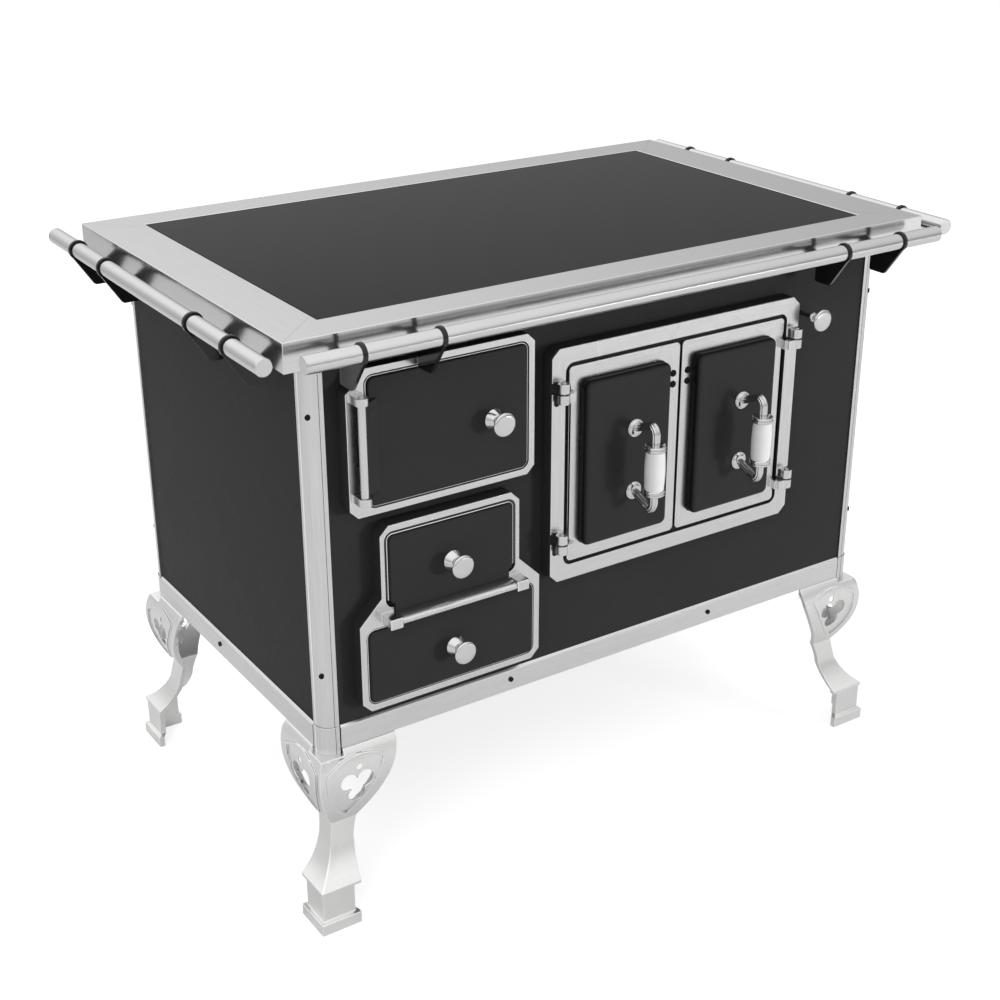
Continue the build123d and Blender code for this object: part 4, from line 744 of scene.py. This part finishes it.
# ---------------------------------------------------------------- camera
CAMERA_AT = (-1.2351, -1.8582, 1.4024)
azimuth = math.radians(-33.737)
elevation = math.radians(23.943)
back = np.array([math.sin(azimuth) * math.cos(elevation), -math.cos(azimuth) * math.cos(elevation),
                 math.sin(elevation)])
right = np.cross(-back, [0, 0, 1])
right /= np.linalg.norm(right)
up = np.cross(right, -back)
lens = bpy.data.cameras.new("camera")
lens.sensor_width = 36.0
lens.lens = 58.58
lens.shift_x = -0.00877
lens.shift_y = -0.01084
lens.clip_start = 0.05
camera = bpy.data.objects.new("camera", lens)
camera.matrix_world = matrix_of((right, up, back, CAMERA_AT))
scene.collection.objects.link(camera)
scene.camera = camera


# ---------------------------------------------------------------- studio
WORLD_LIGHT = 0.42              # strength of the surroundings as a light
FLOOR_REACH = 12.0
FLOOR_GLOW_SEEN = 0.66          # lifts the lit floor to white in the picture
FLOOR_GLOW_MIRRORED = 0.15      # and makes up in reflections for lamps that metal doesn't mirror
AIM = (0, 0, 0.45)              # the middle of the stove


def studio_world():
    """Pale surroundings: white to the camera and softer as a light.

    In reflections they are dimmer near the horizon and to the right, as in a room lit from the
    left.
    """
    world = bpy.data.worlds.new("studio")
    world.use_nodes = True
    tree = world.node_tree
    tree.nodes.clear()
    rays = add(tree, "ShaderNodeLightPath").outputs
    direction = add(tree, "ShaderNodeTexCoord").outputs["Generated"]
    sideways, _, height = add(tree, "ShaderNodeSeparateXYZ", None, Vector=direction).outputs
    seen = maths(tree, "ADD", spread(tree, height, 0.58, 1.0, 0.12, 0.45),
                 spread(tree, height, 0.0, 0.08, 0.5, 0.75))
    seen = maths(tree, "MULTIPLY", seen, spread(tree, sideways, 1.08, 0.76, 0.33, 0.70))
    mirrored = maths(tree, "MAXIMUM", rays["Is Glossy Ray"], rays["Is Transmission Ray"])
    strength = between(tree, mirrored, WORLD_LIGHT, seen)
    strength = between(tree, rays["Is Camera Ray"], strength, 1.0)
    light = add(tree, "ShaderNodeBackground", None, Color=(1, 1, 1, 1), Strength=strength)
    add(tree, "ShaderNodeOutputWorld", None, Surface=light.outputs[0])
    scene.world = world


def studio_floor():
    """Pale floor that reads white where it is lit and keeps the object's shadow."""
    material, tree, surface = new_material("pale_floor", Roughness=0.9, Specular_IOR_Level=0.0)
    surface.inputs["Base Color"].default_value = linear("#E6E6E6")
    rays = add(tree, "ShaderNodeLightPath").outputs
    glow = maths(tree, "MULTIPLY", rays["Is Glossy Ray"], FLOOR_GLOW_MIRRORED)
    glow = between(tree, rays["Is Camera Ray"], glow, FLOOR_GLOW_SEEN)
    surface.inputs["Emission Color"].default_value = (1, 1, 1, 1)
    tree.links.new(glow, surface.inputs["Emission Strength"])
    mesh = bpy.data.meshes.new("floor")
    corners = [(-1, -1), (1, -1), (1, 1), (-1, 1)]
    mesh.from_pydata([(x * FLOOR_REACH, y * FLOOR_REACH, 0) for x, y in corners], [],
                     [(0, 1, 2, 3)])
    mesh.materials.append(material)
    floor = bpy.data.objects.new("floor", mesh)
    scene.collection.objects.link(floor)


def softbox(name, place_at, size, power):
    """Square area lamp, in metres and watts, that lights the stove but isn't mirrored in it."""
    lamp = bpy.data.lights.new(name, "AREA")
    lamp.shape = "SQUARE"
    lamp.size = size
    lamp.energy = power
    holder = bpy.data.objects.new(name, lamp)
    away = np.array(place_at) - np.array(AIM)
    away /= np.linalg.norm(away)
    side = np.cross([0, 0, 1], away)
    side /= np.linalg.norm(side)
    rise = np.cross(away, side)
    holder.matrix_world = matrix_of((side, rise, away, place_at))
    holder.visible_glossy = False
    scene.collection.objects.link(holder)


studio_world()
studio_floor()
softbox("key_left", (-3.2, -3.0, 3.4), 2.4, 64)
softbox("low_right", (3.4, -5.0, 0.5), 0.9, 150)
softbox("fill_right", (3.4, -2.6, 2.2), 2.4, 22)
softbox("top", (0.2, 0.6, 3.8), 2.6, 40)
scene.view_settings.view_transform = "Standard"
